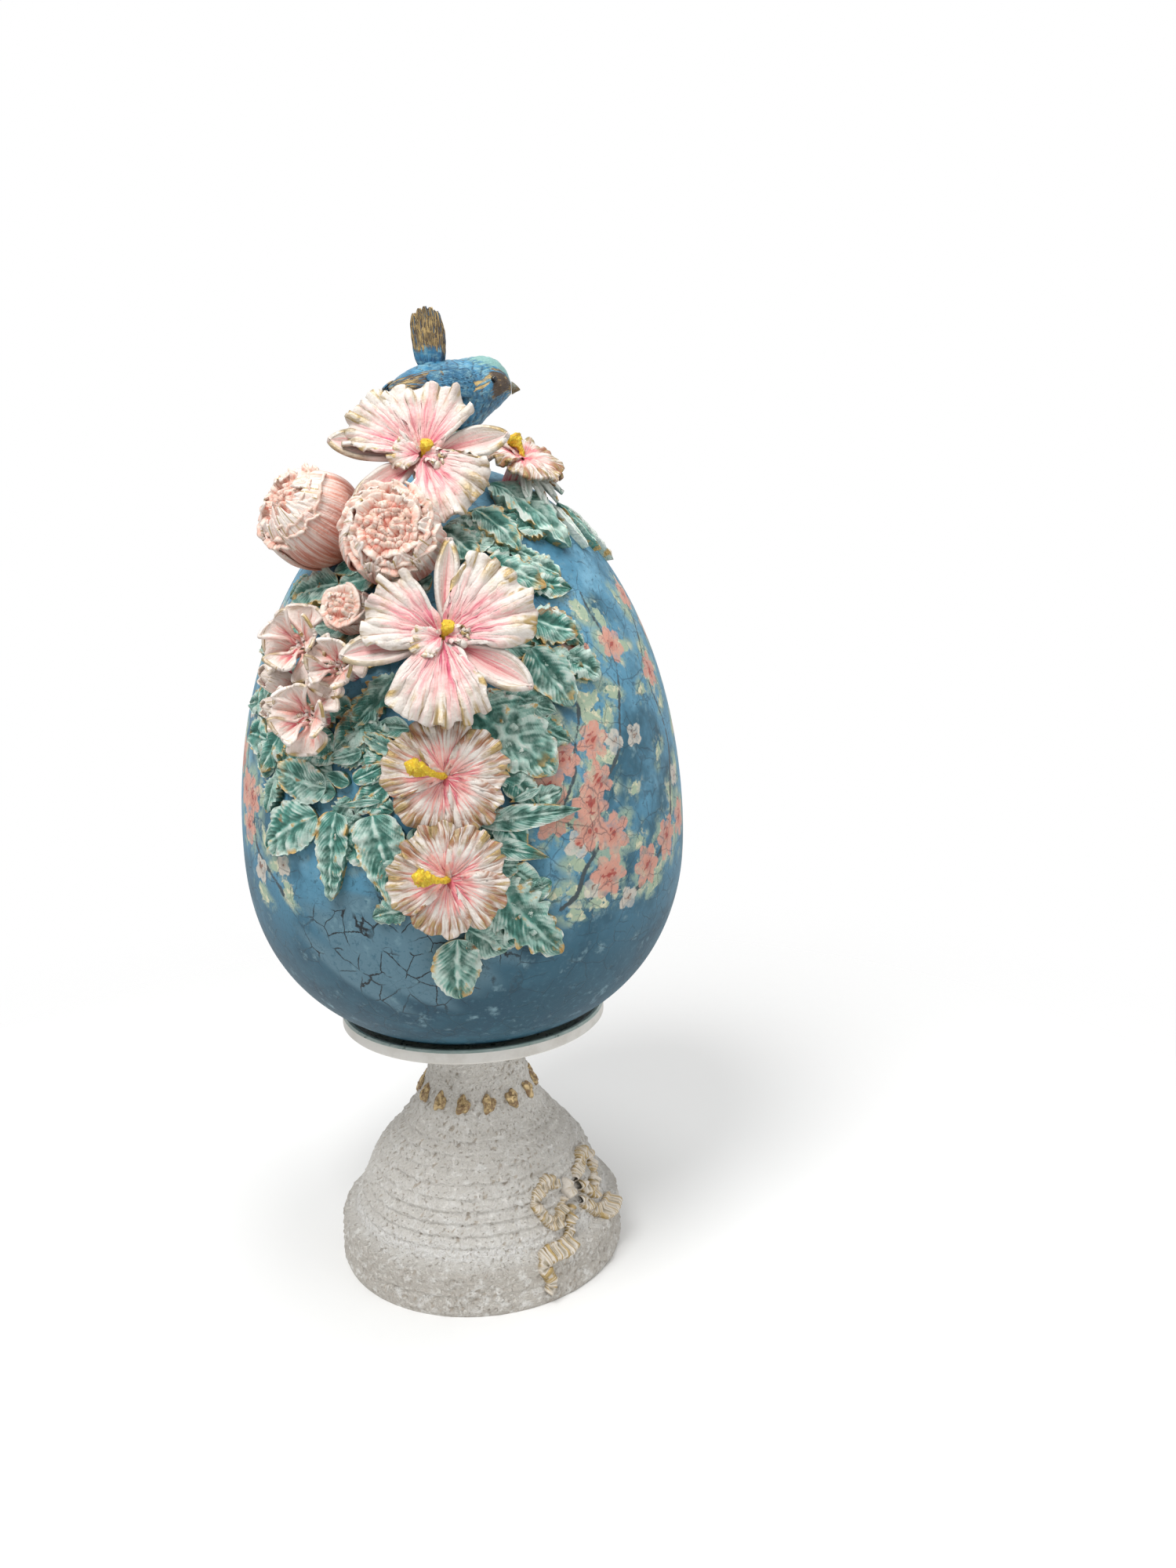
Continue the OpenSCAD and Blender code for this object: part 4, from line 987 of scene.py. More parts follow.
@dataclass
class Bloom:
    """A bloom with a seat on the egg."""

    name: str
    place: Place
    tilt: tuple[float, float]
    lift: float
    slot: str = "petal_white_pink"

    @property
    def seat(self) -> Seat:
        """Seat of the bloom's heart."""
        return SKIN.seat(self.place, self.tilt, self.lift)

    def root(self, radius: float, angle: Array) -> Array:
        """Ring just inside the egg's skin that the bloom grows from."""
        return SKIN.near(self.place, radius * np.cos(angle), radius * np.sin(angle), -0.5)

    def calyx(self, low_r: float, high_r: float, top: float, seed: int) -> Sheet:
        """Shape the calyx, from the egg's skin up to the bloom's heart.

        Args:
            low_r: radius on the skin.
            high_r: radius under the heart.
            top: height of its upper end over the seat.
            seed: seed of its marks.

        Returns:
            The calyx's sheet.
        """
        angle, share = turns(24), span(0, 1, 8)
        mixed = share[..., None]
        points = self.root(low_r, angle) * (1 - mixed) + self.seat.around(high_r, angle, top) * mixed
        return Sheet.of(points, share, np.sin(angle), seed, 0.2 * np.sin(6 * angle), ring=True)


@dataclass
class Orchid(Bloom):
    """An orchid: pointed sepals below, broad ruffled petals above them, a frilled lip and a column.

    sepals and petals hold a direction, a width in degrees and a share of the reach, and lip the first two.
    """

    reach: float = 38.0
    turn: float = 3.0
    sepals: Sequence[tuple[float, float, float]] = ()
    petals: Sequence[tuple[float, float, float]] = ()
    lip: tuple[float, float] = (210.0, 70.0)
    column_h: float = 7.0
    sepal_spread: float = 0.0105
    petal_form: PetalForm = PetalForm(Edge.FAN, rise=5.6, droop=2.6, cup=1.6, ruffle=2.4, folds=5.5, ray=0.13,
                                      rays=70, scallop=0.035, lip=2.1)
    lip_form: PetalForm = PetalForm(Edge.SPOON, rise=3.6, droop=0.5, cup=1.2, ruffle=1.5, folds=6, ray=0.2,
                                    scallop=0.1)

    def build(self) -> None:
        """Build sepals, petals with the lip, and the column."""
        seat = self.seat
        sepals = [BoatForm(width=self.reach * width * self.sepal_spread).sheet(
            seat, direction + self.turn, self.reach * share, 0.2, 10 + i)
            for i, (direction, width, share) in enumerate(self.sepals)]
        sepals.append(self.calyx(4.5, 6.0, 0.4, 3))
        add_piece(f"{self.name}_sepals", "_cast", sepals, SEPAL, self.slot, 2.0)
        petals = [self.petal_form.sheet(seat, direction + self.turn, half, self.reach * share, 2.0 + 0.5 * i,
                                        30 + i) for i, (direction, half, share) in enumerate(self.petals)]
        petals.append(self.lip_form.sheet(seat, *self.lip, self.reach * 0.33, 3.6, 41, rows=24))
        petals.append(self.lip_form.sheet(seat, self.lip[0] + 150, 42, self.reach * 0.24, 3.4, 43, rows=20))
        add_piece(f"{self.name}_petals", "_cast", petals, WHITE_PETAL, self.slot, 1.5)
        share = np.linspace(0, 1, 14)
        lean = self.column_h * 0.55
        path = seat.at(0.5 + lean * 0.5 * share, lean * share, 3.0 + (self.column_h - 0.4) * share)
        radii = smooth_lookup(share, [0, 0.35, 0.7, 0.92, 1], [1.5, 1.7, 2.5, 2.0, 0.2])
        add_piece(f"{self.name}_column", "_cast", [tube_sheet(path, radii, 5, 18, 0.1)], STAMEN,
                  "stamen_yellow")


@dataclass
class Hibiscus(Bloom):
    """A flat hibiscus of five overlapping rayed petals with a long lumpy stamen."""

    radius: float = 23.0
    turn: float = 20.0
    stamen_l: float = 15.0
    toward: float = 156.0
    sepals: Sequence[float] = ()
    form: PetalForm = PetalForm(Edge.FAN, rise=2.8, droop=1.8, cup=0.5, ruffle=0.9, folds=4.2, ray=0.26,
                                rays=34, scallop=0.04, skew=0.9, lip=0.9)

    def build(self) -> None:
        """Build the petals and the stamen."""
        seat = self.seat
        petals = [self.form.sheet(seat, self.turn + 72 * i, 45, self.radius * (1.02 - 0.03 * (i % 2)), 0.0,
                                  60 + 7 * i + len(self.name), core=1.0, rows=30, columns=84)
                  for i in range(5)]
        petals.append(self.calyx(4.5, 4.5, 0.3, 4))
        add_piece(self.name, "_cast", petals, HIBISCUS, self.slot, 1.4)
        if self.sepals:
            tooth = BoatForm(width=5.2, cup=1.6, rise=-3.0, tip_curl=-3.5)
            teeth = [tooth.sheet(seat, direction, self.radius * 1.2, -1.6, 80 + i)
                     for i, direction in enumerate(self.sepals)]
            add_piece(f"{self.name}_sepals", "", teeth, PALE_LEAF, "leaf_white", 1.6)
        share = np.linspace(0, 1, 26)
        out = smooth_lookup(share, [0, 0.2, 0.5, 1], [0, 0.12, 0.42, 1.0]) * self.stamen_l
        high = 0.9 + smooth_lookup(share, [0, 0.2, 0.5, 1], [0, 0.3, 0.5, 0.68]) * self.stamen_l
        turn = math.radians(self.toward)
        radii = smooth_lookup(share, [0, 0.35, 0.5, 0.9, 1], [1.3, 1.1, 1.7, 2.3, 0.3])
        stamen = tube_sheet(seat.at(out * math.cos(turn), out * math.sin(turn), high), radii, 6, 16, 0.24)
        add_piece(f"{self.name}_stamen", "_cast", [stamen], STAMEN, "stamen_yellow")


@dataclass
class Magnolia(Bloom):
    """A small open bloom of spoon-shaped petals that stand up round a crimson throat."""

    radius: float = 12.0
    petals: int = 6
    turn: float = 0.0
    slot: str = "petal_blush"

    def build(self) -> None:
        """Build the cupped petals."""
        seat = self.seat
        sheets = []
        for i in range(self.petals):
            inner = i % 2
            form = BoatForm(width=self.radius * (1.5 - 0.25 * inner), cup=5.0, rise=4.5 + 4.5 * inner,
                            tip_curl=1.6 + 1.6 * inner, belly=0.7)
            sheets.append(form.sheet(seat, self.turn + 360 * i / self.petals + 7 * math.sin(3.1 * i),
                                     self.radius * (1.26 - 0.3 * inner), 0.5 * inner,
                                     90 + 5 * i + len(self.name)))
        heart = PetalForm(Edge.SPOON, rise=3.2, droop=-2.0, cup=1.5, ruffle=0.5, folds=2, ray=0.08)
        sheets += [heart.sheet(seat, self.turn + 40 + 120 * i, 58, self.radius * 0.46, 0.6, 97 + i, core=0.3,
                               rows=14, columns=28) for i in range(3)]
        sheets.append(self.calyx(3.4, 3.4, 0.4, 5))
        add_piece(self.name, "_cast", sheets, CLUSTER, self.slot, 1.3)


@dataclass
class Peony(Bloom):
    """A double peony: smooth striped outer petals in a cup round rings of crinkled ones.

    rings hold a share of the radius and a number of petals, and bowl shares of the radius and half height.
    """

    radius: float = 19.5
    height: float = 35.0
    turn: float = 0.0
    outer: int = 5
    cover: float = 0.2
    facing: float = -60.0
    rings: Sequence[tuple[float, int]] = ((0.78, 6), (0.64, 5), (0.5, 5))
    crinkle: float = 1.0
    bowl: Sequence[Place] = ((0.4, -0.93), (0.62, -0.82), (0.84, -0.58), (0.9, -0.3), (0.8, 0.0))
    slot: str = "peony_pink"

    def shell(self, azimuth: float, half: float, share: float, low: float, high: float, seed: int,
              crinkle: float, rows: int = 30, columns: int = 56) -> Sheet:
        """Shape one upright petal of the cup.

        Args:
            azimuth: direction of the petal's middle.
            half: degrees from its middle to its side.
            share: its radius as a share of the peony's.
            low: height of its foot, as a share of half the height.
            high: height of its rim.
            seed: seed of its waves.
            crinkle: how much its rim is crinkled, in millimetres.
            rows: points up the petal.
            columns: points across it.

        Returns:
            The petal's sheet.
        """
        rng = np.random.default_rng(seed)
        half_h = self.height / 2
        u, t = span(0, 1, rows), span(-1, 1, columns).T
        rim = high - 0.34 * np.abs(t) ** 2.4 + 0.06 * wander(t, rng, 0.9) + 0.03 * wander(t, rng, 3.0)
        z = low + (rim - low) * u
        belly = np.sqrt(np.clip(1 - (z / 1.12) ** 2, 0.04, 1))
        fold = wander(t, rng, 1.2) + 0.7 * wander(t + 0.2 * u, rng, 3.2)
        radius = self.radius * share * belly + crinkle * fold * u ** 1.6 + t
        radius = np.maximum(radius + crinkle * 2.2 * u ** 7, 0.3)
        turn = np.radians(azimuth + self.turn + half * t)
        ray = np.sin(60 * t + 2 * wander(t, rng, 1))
        radius = radius + 0.1 * ray * np.sin(math.pi * u)
        ridge = np.clip(0.35 * ray + 0.5 * fold * u, -1, 1)
        return Sheet.of(self.seat.around(radius, turn, z * half_h), u, t, seed % 17, ridge)

    def build(self) -> None:
        """Build the outer cup and the crinkled heart."""
        cup = []
        for i in range(self.outer):
            away = math.radians(180 * i / self.outer + (self.turn - self.facing) / 2)
            rim = 0.55 + 0.12 * (i % 3) + self.cover * math.cos(away) ** 2
            cup.append(self.shell(360 * i / self.outer, 46, 1.0 - 0.03 * (i % 2), -0.86, rim, 120 + i,
                                  0.35 * self.crinkle, 34, 64))
        cup += [self.shell(360 * (i + 0.5) / self.outer, 42, 0.93, -0.8, 0.76 + 0.5 * self.cover, 140 + i,
                           0.6 * self.crinkle) for i in range(self.outer)]
        angle = turns(28)
        bowl = [self.root(0.26 * self.radius, angle)] + [
            self.seat.around(self.radius * share, angle, rise * self.height / 2) for share, rise in self.bowl]
        cup.append(Sheet.of(np.concatenate(bowl), span(0, 0.5, len(bowl)), np.sin(angle), 2,
                            0.3 * np.sin(30 * angle), ring=True))
        add_piece(self.name, "_cup", cup, PEONY_OUTER, self.slot, 0.8)
        heart = [self.rosette()] + [self.frill(360 * (i + 0.37 * k) / count, share, 200 + 11 * k + i)
                                    for k, (share, count) in enumerate(self.rings) for i in range(count)]
        add_piece(self.name, "_heart", heart, PEONY_HEART, self.slot, 0.9)

    def rosette(self) -> Sheet:
        """Shape the middle as one cast dome of wavy lips, deep and salmon between them.

        Returns:
            The dome's sheet.
        """
        rng = np.random.default_rng(250 + len(self.name))
        rho = self.radius * span(0.01, 0.82, 90)
        angle = np.linspace(0, 2 * math.pi, 200, endpoint=False)[None, :]
        x, y = rho * np.cos(angle), rho * np.sin(angle)
        bend = crumple(grid(x, y, 0), 7.0, int(rng.integers(90)))
        small = crumple(grid(x, y, 0), 2.6, int(rng.integers(90)), 18)
        phase = rho / 2.9 + angle / (2 * math.pi) + 0.42 * bend + 0.12 * small
        lip = 1 - np.abs(2 * np.mod(phase, 1.0) - 1) ** 0.8
        fade = smoothstep(rho, 0.6, 2.5)
        z = self.crown(rho) - 2.6 + fade * (2.7 * lip ** 0.8 + 0.5 * small + 0.5 * bend)
        z = z - 3.0 * (rho / self.radius) ** 4
        return Sheet.of(self.seat.at(x, y, z), 0.12 + 0.85 * lip ** 1.2, np.sin(3 * angle), 4,
                        np.clip(2 * lip - 1.1, -1, 1), ring=True)

    def crown(self, rho: Array) -> Array:
        """Height of the ragged heart over the seat, at a distance from the axis."""
        return self.height / 2 * 0.86 * np.sqrt(np.clip(1 - (rho / (1.16 * self.radius)) ** 2, 0.02, 1))

    def frill(self, azimuth: float, share: float, seed: int) -> Sheet:
        """Shape one ragged petal of the heart, leaning outwards.

        Args:
            azimuth: direction of the petal's middle.
            share: its distance from the axis, as a share of the radius.
            seed: seed of its folds.

        Returns:
            The petal's sheet.
        """
        rng = np.random.default_rng(seed)
        u, t = span(0, 1, 16), span(-1, 1, 40).T
        middle = self.radius * share
        fold = 0.8 * wander(t, rng, 0.7) + 0.35 * wander(t + 0.2 * u, rng, 2.0)
        rho = middle - 1.4 + 2.6 * u ** 1.5 + self.crinkle * fold * u + 1.2 * t + 1.5 * u ** 7
        rho = np.maximum(rho, 0.3)
        rag = rng.uniform(-1.0, 0.8) + 0.8 * wander(t, rng, 1.0) + 0.45 * wander(t, rng, 2.6)
        z = self.crown(middle) - 4.4 + (5.2 + rag * self.crinkle) * u ** 0.8 - 2.6 * np.abs(t) ** 3 * u
        half = min(95.0, math.degrees(rng.uniform(6.6, 8.6) / max(middle, 3.0)))
        turn = np.radians(azimuth + self.turn + rng.uniform(-9, 9) + half * t + 4 * fold * u)
        ridge = np.clip(1.5 * u - 0.9 + 0.35 * fold, -1, 1)
        return Sheet.of(self.seat.around(rho, turn, z), u ** 1.3, t, seed % 17, ridge)


@dataclass
class Bud(Bloom):
    """A closed bud: overlapping petals wrapped round a pointed core."""

    radius: float = 8.6
    height: float = 20.0
    wraps: int = 4
    open_share: float = 0.25
    slot: str = "peony_pink"

    def build(self) -> None:
        """Build the core and the wrapped petals."""
        half = self.height / 2
        angle, rise = turns(30), span(-1, 1, 16)
        core_r = self.radius * 0.8 * smooth_lookup(rise, [-1, -0.5, 0.1, 0.7, 1], [0.4, 0.9, 0.9, 0.5, 0.04])
        core = Sheet.of(self.seat.around(core_r, angle, rise * half * 0.96), 0.5 + 0.5 * rise,
                        np.sin(2 * angle), 1, 0.3 * np.sin(7 * angle + 5 * rise), ring=True)
        foot = np.concatenate([self.root(0.34 * self.radius, angle),
                               self.seat.around(0.5 * self.radius, angle, -0.9 * half)])
        sheets = [core, Sheet.of(foot, 0, np.sin(angle), 2, 0, ring=True)]
        u, t = span(0, 1, 24), span(-1, 1, 30).T
        for k in range(self.wraps):
            rng = np.random.default_rng(300 + k + len(self.name))
            rim = 0.95 - 0.5 * np.abs(t) ** 2 - 0.12 * (k % 2) + 0.03 * wander(t, rng, 1.5)
            z = -0.95 + (rim + 0.95) * u
            belly = smooth_lookup(z, [-1, -0.55, 0, 0.6, 1], [0.42, 0.86, 0.98, 0.66, 0.3])
            radius = self.radius * (belly + self.open_share * u ** 4 * (1 - t * t))
            radius = radius * (1 + 0.05 * t + 0.03 * (k % 2))
            turn = np.radians(360 * k / self.wraps + 40 + 62 * t + 20 * u)
            sheets.append(Sheet.of(self.seat.around(radius, turn, z * half), u, t, k + 3,
                                   0.3 * np.sin(20 * t) * u + 0.3 * wander(t + u, rng, 1.4)))
        add_piece(self.name, "_cast", sheets, CLUSTER, self.slot, 0.5)


class LeafKind(Enum):
    """Outline of a leaf: belly power, tip power, depth and number of its teeth, side veins, waves."""

    ROUND = (0.85, 0.55, 0.05, 9, 5, 0.8)
    HEART = (0.55, 0.6, 0.05, 11, 7, 1.0)
    SPEAR = (0.75, 0.9, 0.0, 1, 6, 0.4)
    JAGGED = (0.8, 0.6, 0.2, 6, 6, 0.9)
    FERN = (0.72, 0.6, 0.32, 7, 7, 0.5)

    def half(self, s: Array) -> Array:
        """Half width at a share of the length, as a share of the width, without teeth."""
        belly, tip = self.value[:2]
        return np.maximum(np.sin(math.pi * np.clip(s, 0, 1) ** belly) ** tip, 0.04) / 2


@dataclass(frozen=True)
class LeafForm:
    """One leaf on the egg's skin."""

    place: Place
    turn: float
    length: float
    width: float
    kind: LeafKind
    seed: int = 0
    lift: float = 0.0

    def sheets(self) -> list[Sheet]:
        """Shape the leaf with veins, teeth and curled sides, and its skirt down to the skin.

        Returns:
            The leaf's sheet and the skirt's.
        """
        depth, teeth, veins, waves = self.kind.value[2:]
        rng = np.random.default_rng(500 + self.seed)
        s, c = span(0, 1, max(28, int(self.length * 2))), span(-1, 1, 37).T
        side = np.abs(c)
        slot = np.mod(s * teeth + 0.3 * np.sign(c), 1.0)
        bite = depth * (1 - smoothstep(slot, 0, 0.75) + smoothstep(slot, 0.8, 1.0))
        bite = bite * np.sin(math.pi * s) ** 0.3
        half = self.width * self.kind.half(s) * (1 - bite * side ** 3 + 0.04 * wander(s, rng, 3))
        x = c * half + 0.06 * self.width * np.sin(math.pi * s + self.seed)
        y = self.length * s - 0.1 * self.width * side * np.sin(math.pi * s)
        vein_s = (s - 0.34 * side ** 1.1) * (veins + 1.5)
        line = np.exp(-((np.mod(vein_s, 1.0) - 0.5) / 0.13) ** 2)
        vein = line * np.sin(math.pi * np.clip(s + 0.05, 0, 1)) ** 0.5 * smoothstep(side, 0.02, 0.15)
        vein = vein * (1 - 0.5 * side)
        rib = np.sin(4 * math.pi * vein_s + 1.5 * wander(s + 0.2 * c, rng, 1.5)) * smoothstep(side, 0.05, 0.3)
        middle = np.exp(-(c / 0.09) ** 2)
        groove = np.exp(-((side - 0.2) / 0.1) ** 2)
        curl = 1.5 * np.sin(math.pi * np.clip(side * 1.05, 0, 1)) + 1.3 * side ** 4
        wave = 1.7 * waves * side ** 2 * wander(s + 0.1 * np.sign(c), rng, 2.0)
        dent = crumple(grid(x, y, 0), 5.0, self.seed)
        shape = np.minimum(1, 6 * s) * np.minimum(1, 6 * (1 - s) + 0.25)
        scale = min(1.0, self.width / 14)
        relief = curl + 0.7 * middle - 0.6 * groove + 0.45 * vein + 0.5 * dent + 0.22 * rib
        z = 1.5 + self.lift + scale * shape * (relief + 0.55 * wave * (1 - 0.4 * middle))
        ridge = (0.8 * middle + 0.55 * vein - 0.6 * groove - 0.4 * (1 - side) + 0.9 * side ** 5
                 + 0.4 * dent + 0.3 * rib - 0.05)
        turn = math.radians(self.turn)
        east = x * math.cos(turn) + y * math.sin(turn)
        north = y * math.cos(turn) - x * math.sin(turn)
        top = Sheet.of(SKIN.near(self.place, east, north, z), s, c, self.seed % 19, np.clip(ridge, -1, 1))

        def rim(values: Array) -> Array:
            """Values round the leaf's rim."""
            return np.concatenate([values[:, 0], values[-1, 1:-1], values[::-1, -1], values[0, -2:0:-1]])

        tuck = np.array([[0.0], [0.45], [1.0]])
        x, y = (v * (1 - 0.1 * tuck) + v.mean() * 0.1 * tuck for v in (rim(east), rim(north)))
        skirt = SKIN.near(self.place, x, y, rim(z) * (1 - tuck) - 0.6 * tuck)
        return [top, Sheet.of(skirt, 0.9, 0.95, self.seed % 19, -0.7 * tuck, ring=True)]


@dataclass
class Leaf:
    """A CAD leaf dressed with its relief, and with the smaller leaves that grow beside it."""

    node: str
    forms: Sequence[LeafForm]
    finish: PaintedLeaf = GREEN_LEAF
    slot: str = "leaf_green"

    def build(self) -> None:
        """Build the leaf's sheets as one piece."""
        sheets = [sheet for form in self.forms for sheet in form.sheets()]
        add_piece(self.node, "_relief", sheets, self.finish, self.slot)


LEAF_L, LEAF_W = 34.0, 20.0
ROUND, HEART, SPEAR, JAGGED, FERN = LeafKind
LEAF_ROWS: dict[str, list[tuple[Place, float, float, float, LeafKind]]] = {
    "leaf_dark_left": [((-37.6, 44), -106, 0.8, 0.86, JAGGED), ((-46.5, 39.4), -104, 0.6, 0.24, SPEAR)],
    "leaf_round_left": [((-30, 47.5), -100, 0.4, 0.44, ROUND)],
    "leaf_small_dark": [((-55.5, 34.4), -104, 0.64, 0.46, ROUND), ((-56.6, 27.6), -168, 0.46, 0.44, SPEAR)],
    "leaf_fringed_left": [((-44.8, 21.5), -143, 0.74, 0.76, FERN), ((-47.7, 13.5), -162, 0.43, 0.5, FERN)],
    "leaf_small_mid": [((-37, 21.6), 176, 0.36, 0.3, SPEAR), ((-22.3, 18.6), -108, 0.4, 0.36, ROUND)],
    "leaf_gilt": [((-12.8, 18.4), -66, 0.52, 0.4, JAGGED)],
    "leaf_round_big": [((-31, 13.6), -84, 0.8, 0.84, ROUND)],
    "leaf_long_left": [((-25, 14.2), -78, 0.34, 0.32, SPEAR)],
    "leaf_mid_left": [((-24, 14.4), 62, 0.44, 0.36, ROUND), ((-17.6, 11.8), -98, 0.53, 0.15, SPEAR)],
    "leaf_big_left": [((-33.5, 9.3), -118, 1, 1.02, ROUND)],
    "leaf_narrow": [((-28, 10), -172, 1.06, 0.72, HEART)],
    "leaf_heart": [((-18.8, 10), 167, 1.2, 1.06, HEART)],
    "leaf_right_jagged": [((27, 68.5), 152, 1.3, 1.1, JAGGED)],
    "leaf_gilt_jagged": [((10.5, 59.5), 146, 0.76, 0.74, JAGGED), ((-5, 54.5), 132, 0.66, 0.7, JAGGED)],
    "leaf_right_fan": [((9.6, 47), 112, 0.78, 0.78, JAGGED)],
    "leaf_white_narrow": [((57, 61.5), 176, 0.72, 0.24, SPEAR)],
    "leaf_green_right": [((66, 62), 172, 0.8, 0.32, SPEAR)],
    "leaf_outline_right": [((76, 61), 172, 0.9, 0.34, SPEAR)],
    "leaf_orchid_upper": [((21, 37.5), 112, 0.62, 0.84, JAGGED)],
    "leaf_orchid_lower": [((20, 32.8), 154, 0.8, 0.96, ROUND)],
    "leaf_grape": [((3.4, 25.2), 136, 1.24, 1.48, JAGGED)],
    "leaf_long_right": [((17.2, 12.6), -108, 0.36, 0.17, SPEAR), ((3.4, 8.6), 87, 1.2, 0.5, SPEAR)],
    "leaf_low_right": [((4, 5.8), 106, 0.78, 0.42, SPEAR)],
    "leaf_fern_mid": [((-15.8, 29), -144, 0.72, 0.7, FERN), ((-14, 33), -106, 0.4, 0.38, ROUND)],
    "leaf_bottom_right": [((5.2, -0.5), 134, 1.2, 1.2, FERN)],
    "leaf_bottom": [((-2.6, -9.7), 177, 0.8, 0.96, ROUND)],
}


@dataclass
class Foot:
    """Bell-shaped stucco foot with gold dabs round its neck and a ribbon bow on its right.

    vent holds the vent's distance from the axis, radius and depth, drop_size a dab's width, height and depth.
    band and bell hold shares of a height and of the radius, and runs the lines of the ribbon as shares of
    bow_size.
    """

    height: float = 108.0
    radius: float = 68.0
    band_h: float = 21.5
    neck_r: float = 22.5
    vent: tuple[float, float, float] = (30.6, 3.0, 5.6)
    band: Sequence[Place] = ((0, 0.985), (0.14, 1), (0.44, 0.985), (0.5, 0.995), (0.56, 0.982), (0.92, 0.99),
                             (0.99, 0.975), (1.02, 0.905), (1.04, 0.9))
    bell: Sequence[Place] = ((0.07, 0.955), (0.11, 0.915), (0.17, 0.86), (0.257, 0.79), (0.343, 0.73),
                             (0.43, 0.62), (0.514, 0.474), (0.6, 0.335), (0.686, 0.24), (0.743, 0.18),
                             (0.8, 0.125), (0.857, 0.07), (0.914, 0.035), (1, 0.005))
    drops: int = 14
    drop_z: float = 81.0
    drop_turn: float = 11.0
    drop_size: tuple[float, float, float] = (6.4, 8.0, 1.5)
    knot: Place = (48.0, 41.04)
    bow_size: tuple[float, float] = (66.0, 56.0)
    ribbon_w: float = 6.0
    ribbon_t: float = 2.2
    lift: float = 0.9
    ridges: int = 15
    neck_start: float = 0.87
    lip_share: float = 1.06
    runs: Sequence[Sequence[Place]] = (
        ((-0.1, 0.08), (-0.2, 0.12), (-0.3, 0.09), (-0.38, 0), (-0.34, -0.07), (-0.29, -0.15), (-0.23, -0.17),
         (-0.15, -0.12), (-0.09, -0.04)),
        ((0.11, 0.03), (0.21, 0.07), (0.32, 0.11), (0.46, 0.11), (0.56, 0.02), (0.49, -0.04), (0.41, -0.11),
         (0.33, -0.17), (0.22, -0.08), (0.12, -0.02)),
        ((-0.03, -0.12), (-0.09, -0.2), (-0.14, -0.3), (-0.23, -0.35), (-0.36, -0.35), (-0.44, -0.4),
         (-0.4, -0.49), (-0.39, -0.56), (-0.42, -0.62)),
        ((0.08, -0.12), (0.16, -0.2), (0.24, -0.29), (0.34, -0.33), (0.55, -0.34)))

    def profile(self, z: Array) -> Array:
        """Radius of the foot at heights, with the ledge, the groove and the throwing ridges.

        Args:
            z: heights over the floor.

        Returns:
            Radii.
        """
        low = self.band_h * self.band[-1][0]
        low_r = self.radius * self.band[-1][1]
        rise = self.height * self.neck_start - low
        levels = [self.band_h * h for h, _ in self.band] + [low + rise * h for h, _ in self.bell]
        radii = [self.radius * share for _, share in self.band] + [
            self.neck_r + (low_r - self.neck_r) * share for _, share in self.bell]
        share = (z - low) / rise
        ridge = smoothstep(share, 0.03, 0.1) * (1 - smoothstep(share, 0.62, 0.7))
        wave = 0.5 - 0.85 * np.cos(2 * math.pi * share * self.ridges + 0.5 * np.sin(9 * share))
        return np.interp(z, [*levels, self.height], [*radii, self.neck_r * self.lip_share]) + ridge * wave

    def build_skin(self) -> None:
        """Build the stuccoed skin and the flat underside with its vent as one closed form."""
        out_z = np.linspace(0, self.height, 200)
        vent_x, vent_r, vent_h = self.vent
        floor_r = np.concatenate([np.linspace(0, vent_x - vent_r - 1.4, 6),
                                  np.arange(vent_x - vent_r - 0.7, vent_x + vent_r + 0.7, 0.35),
                                  np.linspace(vent_x + vent_r + 1.4, self.band[0][1] * self.radius - 1, 6)])
        radii = np.concatenate([floor_r, self.profile(out_z), [self.neck_r * 0.5, 0.0]])[:, None]
        z = np.concatenate([0 * floor_r, out_z, [self.height] * 2])[:, None]
        turn = turns(480)
        points = turned(radii, turn, z)
        under = slice(0, len(floor_r))
        hole = np.hypot(points[under, :, 0] - vent_x, points[under, :, 1])
        points[under, :, 2] = vent_h * (1 - smoothstep(hole, vent_r - 0.2, vent_r + 0.2))
        outer = np.zeros_like(z)
        outer[len(floor_r):-2] = 1
        sanded = outer * smoothstep(z, 0.3, 3) * (1 - smoothstep(z, self.height * 0.93, self.height))
        rough = 0.3 * crumple(points, 7, 61) + 0.3 * crumple(points, 2.6, 62, 24)
        shelf = self.band_h * self.band[-1][0]
        bare = (0.3 + 0.7 * smoothstep(crumple(points, 22, 65), -0.5, 0.4)) * (
            1 - 0.85 * smoothstep(z, shelf - 2.5, shelf - 0.5) * (1 - smoothstep(z, shelf + 3, shelf + 8)))
        pits = smoothstep(crumple(points, 2.4, 63, 24), 0.8, 1.5) * bare
        relief = sanded * (rough * bare - 0.6 * pits)
        points[..., :2] *= (1 + relief / np.maximum(radii, 8))[..., None]
        ridge = np.clip(0.5 * rough * bare - pits, -1, 1)
        skin = Sheet.of(points, z / self.height, np.sin(turn), 1, ridge, ring=True)
        add_piece("pedestal_foot", "_stucco", [skin], StuccoFoot("Stucco wash on thrown ceramic"),
                  "foot_stucco", body="stand")

    def on_foot(self, azimuth: Array, z: Array, height: Array) -> Array:
        """Points on the foot's skin, raised along its normal.

        Args:
            azimuth: degrees from the front to the right.
            z: heights over the floor.
            height: height over the skin.

        Returns:
            The points.
        """
        azimuth, z, height = np.broadcast_arrays(azimuth, z, height)
        slope = (self.profile(z + 5) - self.profile(z - 5)) / 10
        size = np.hypot(1, slope)
        return turned(self.profile(z) + height / size, np.radians(azimuth), z - height * slope / size)

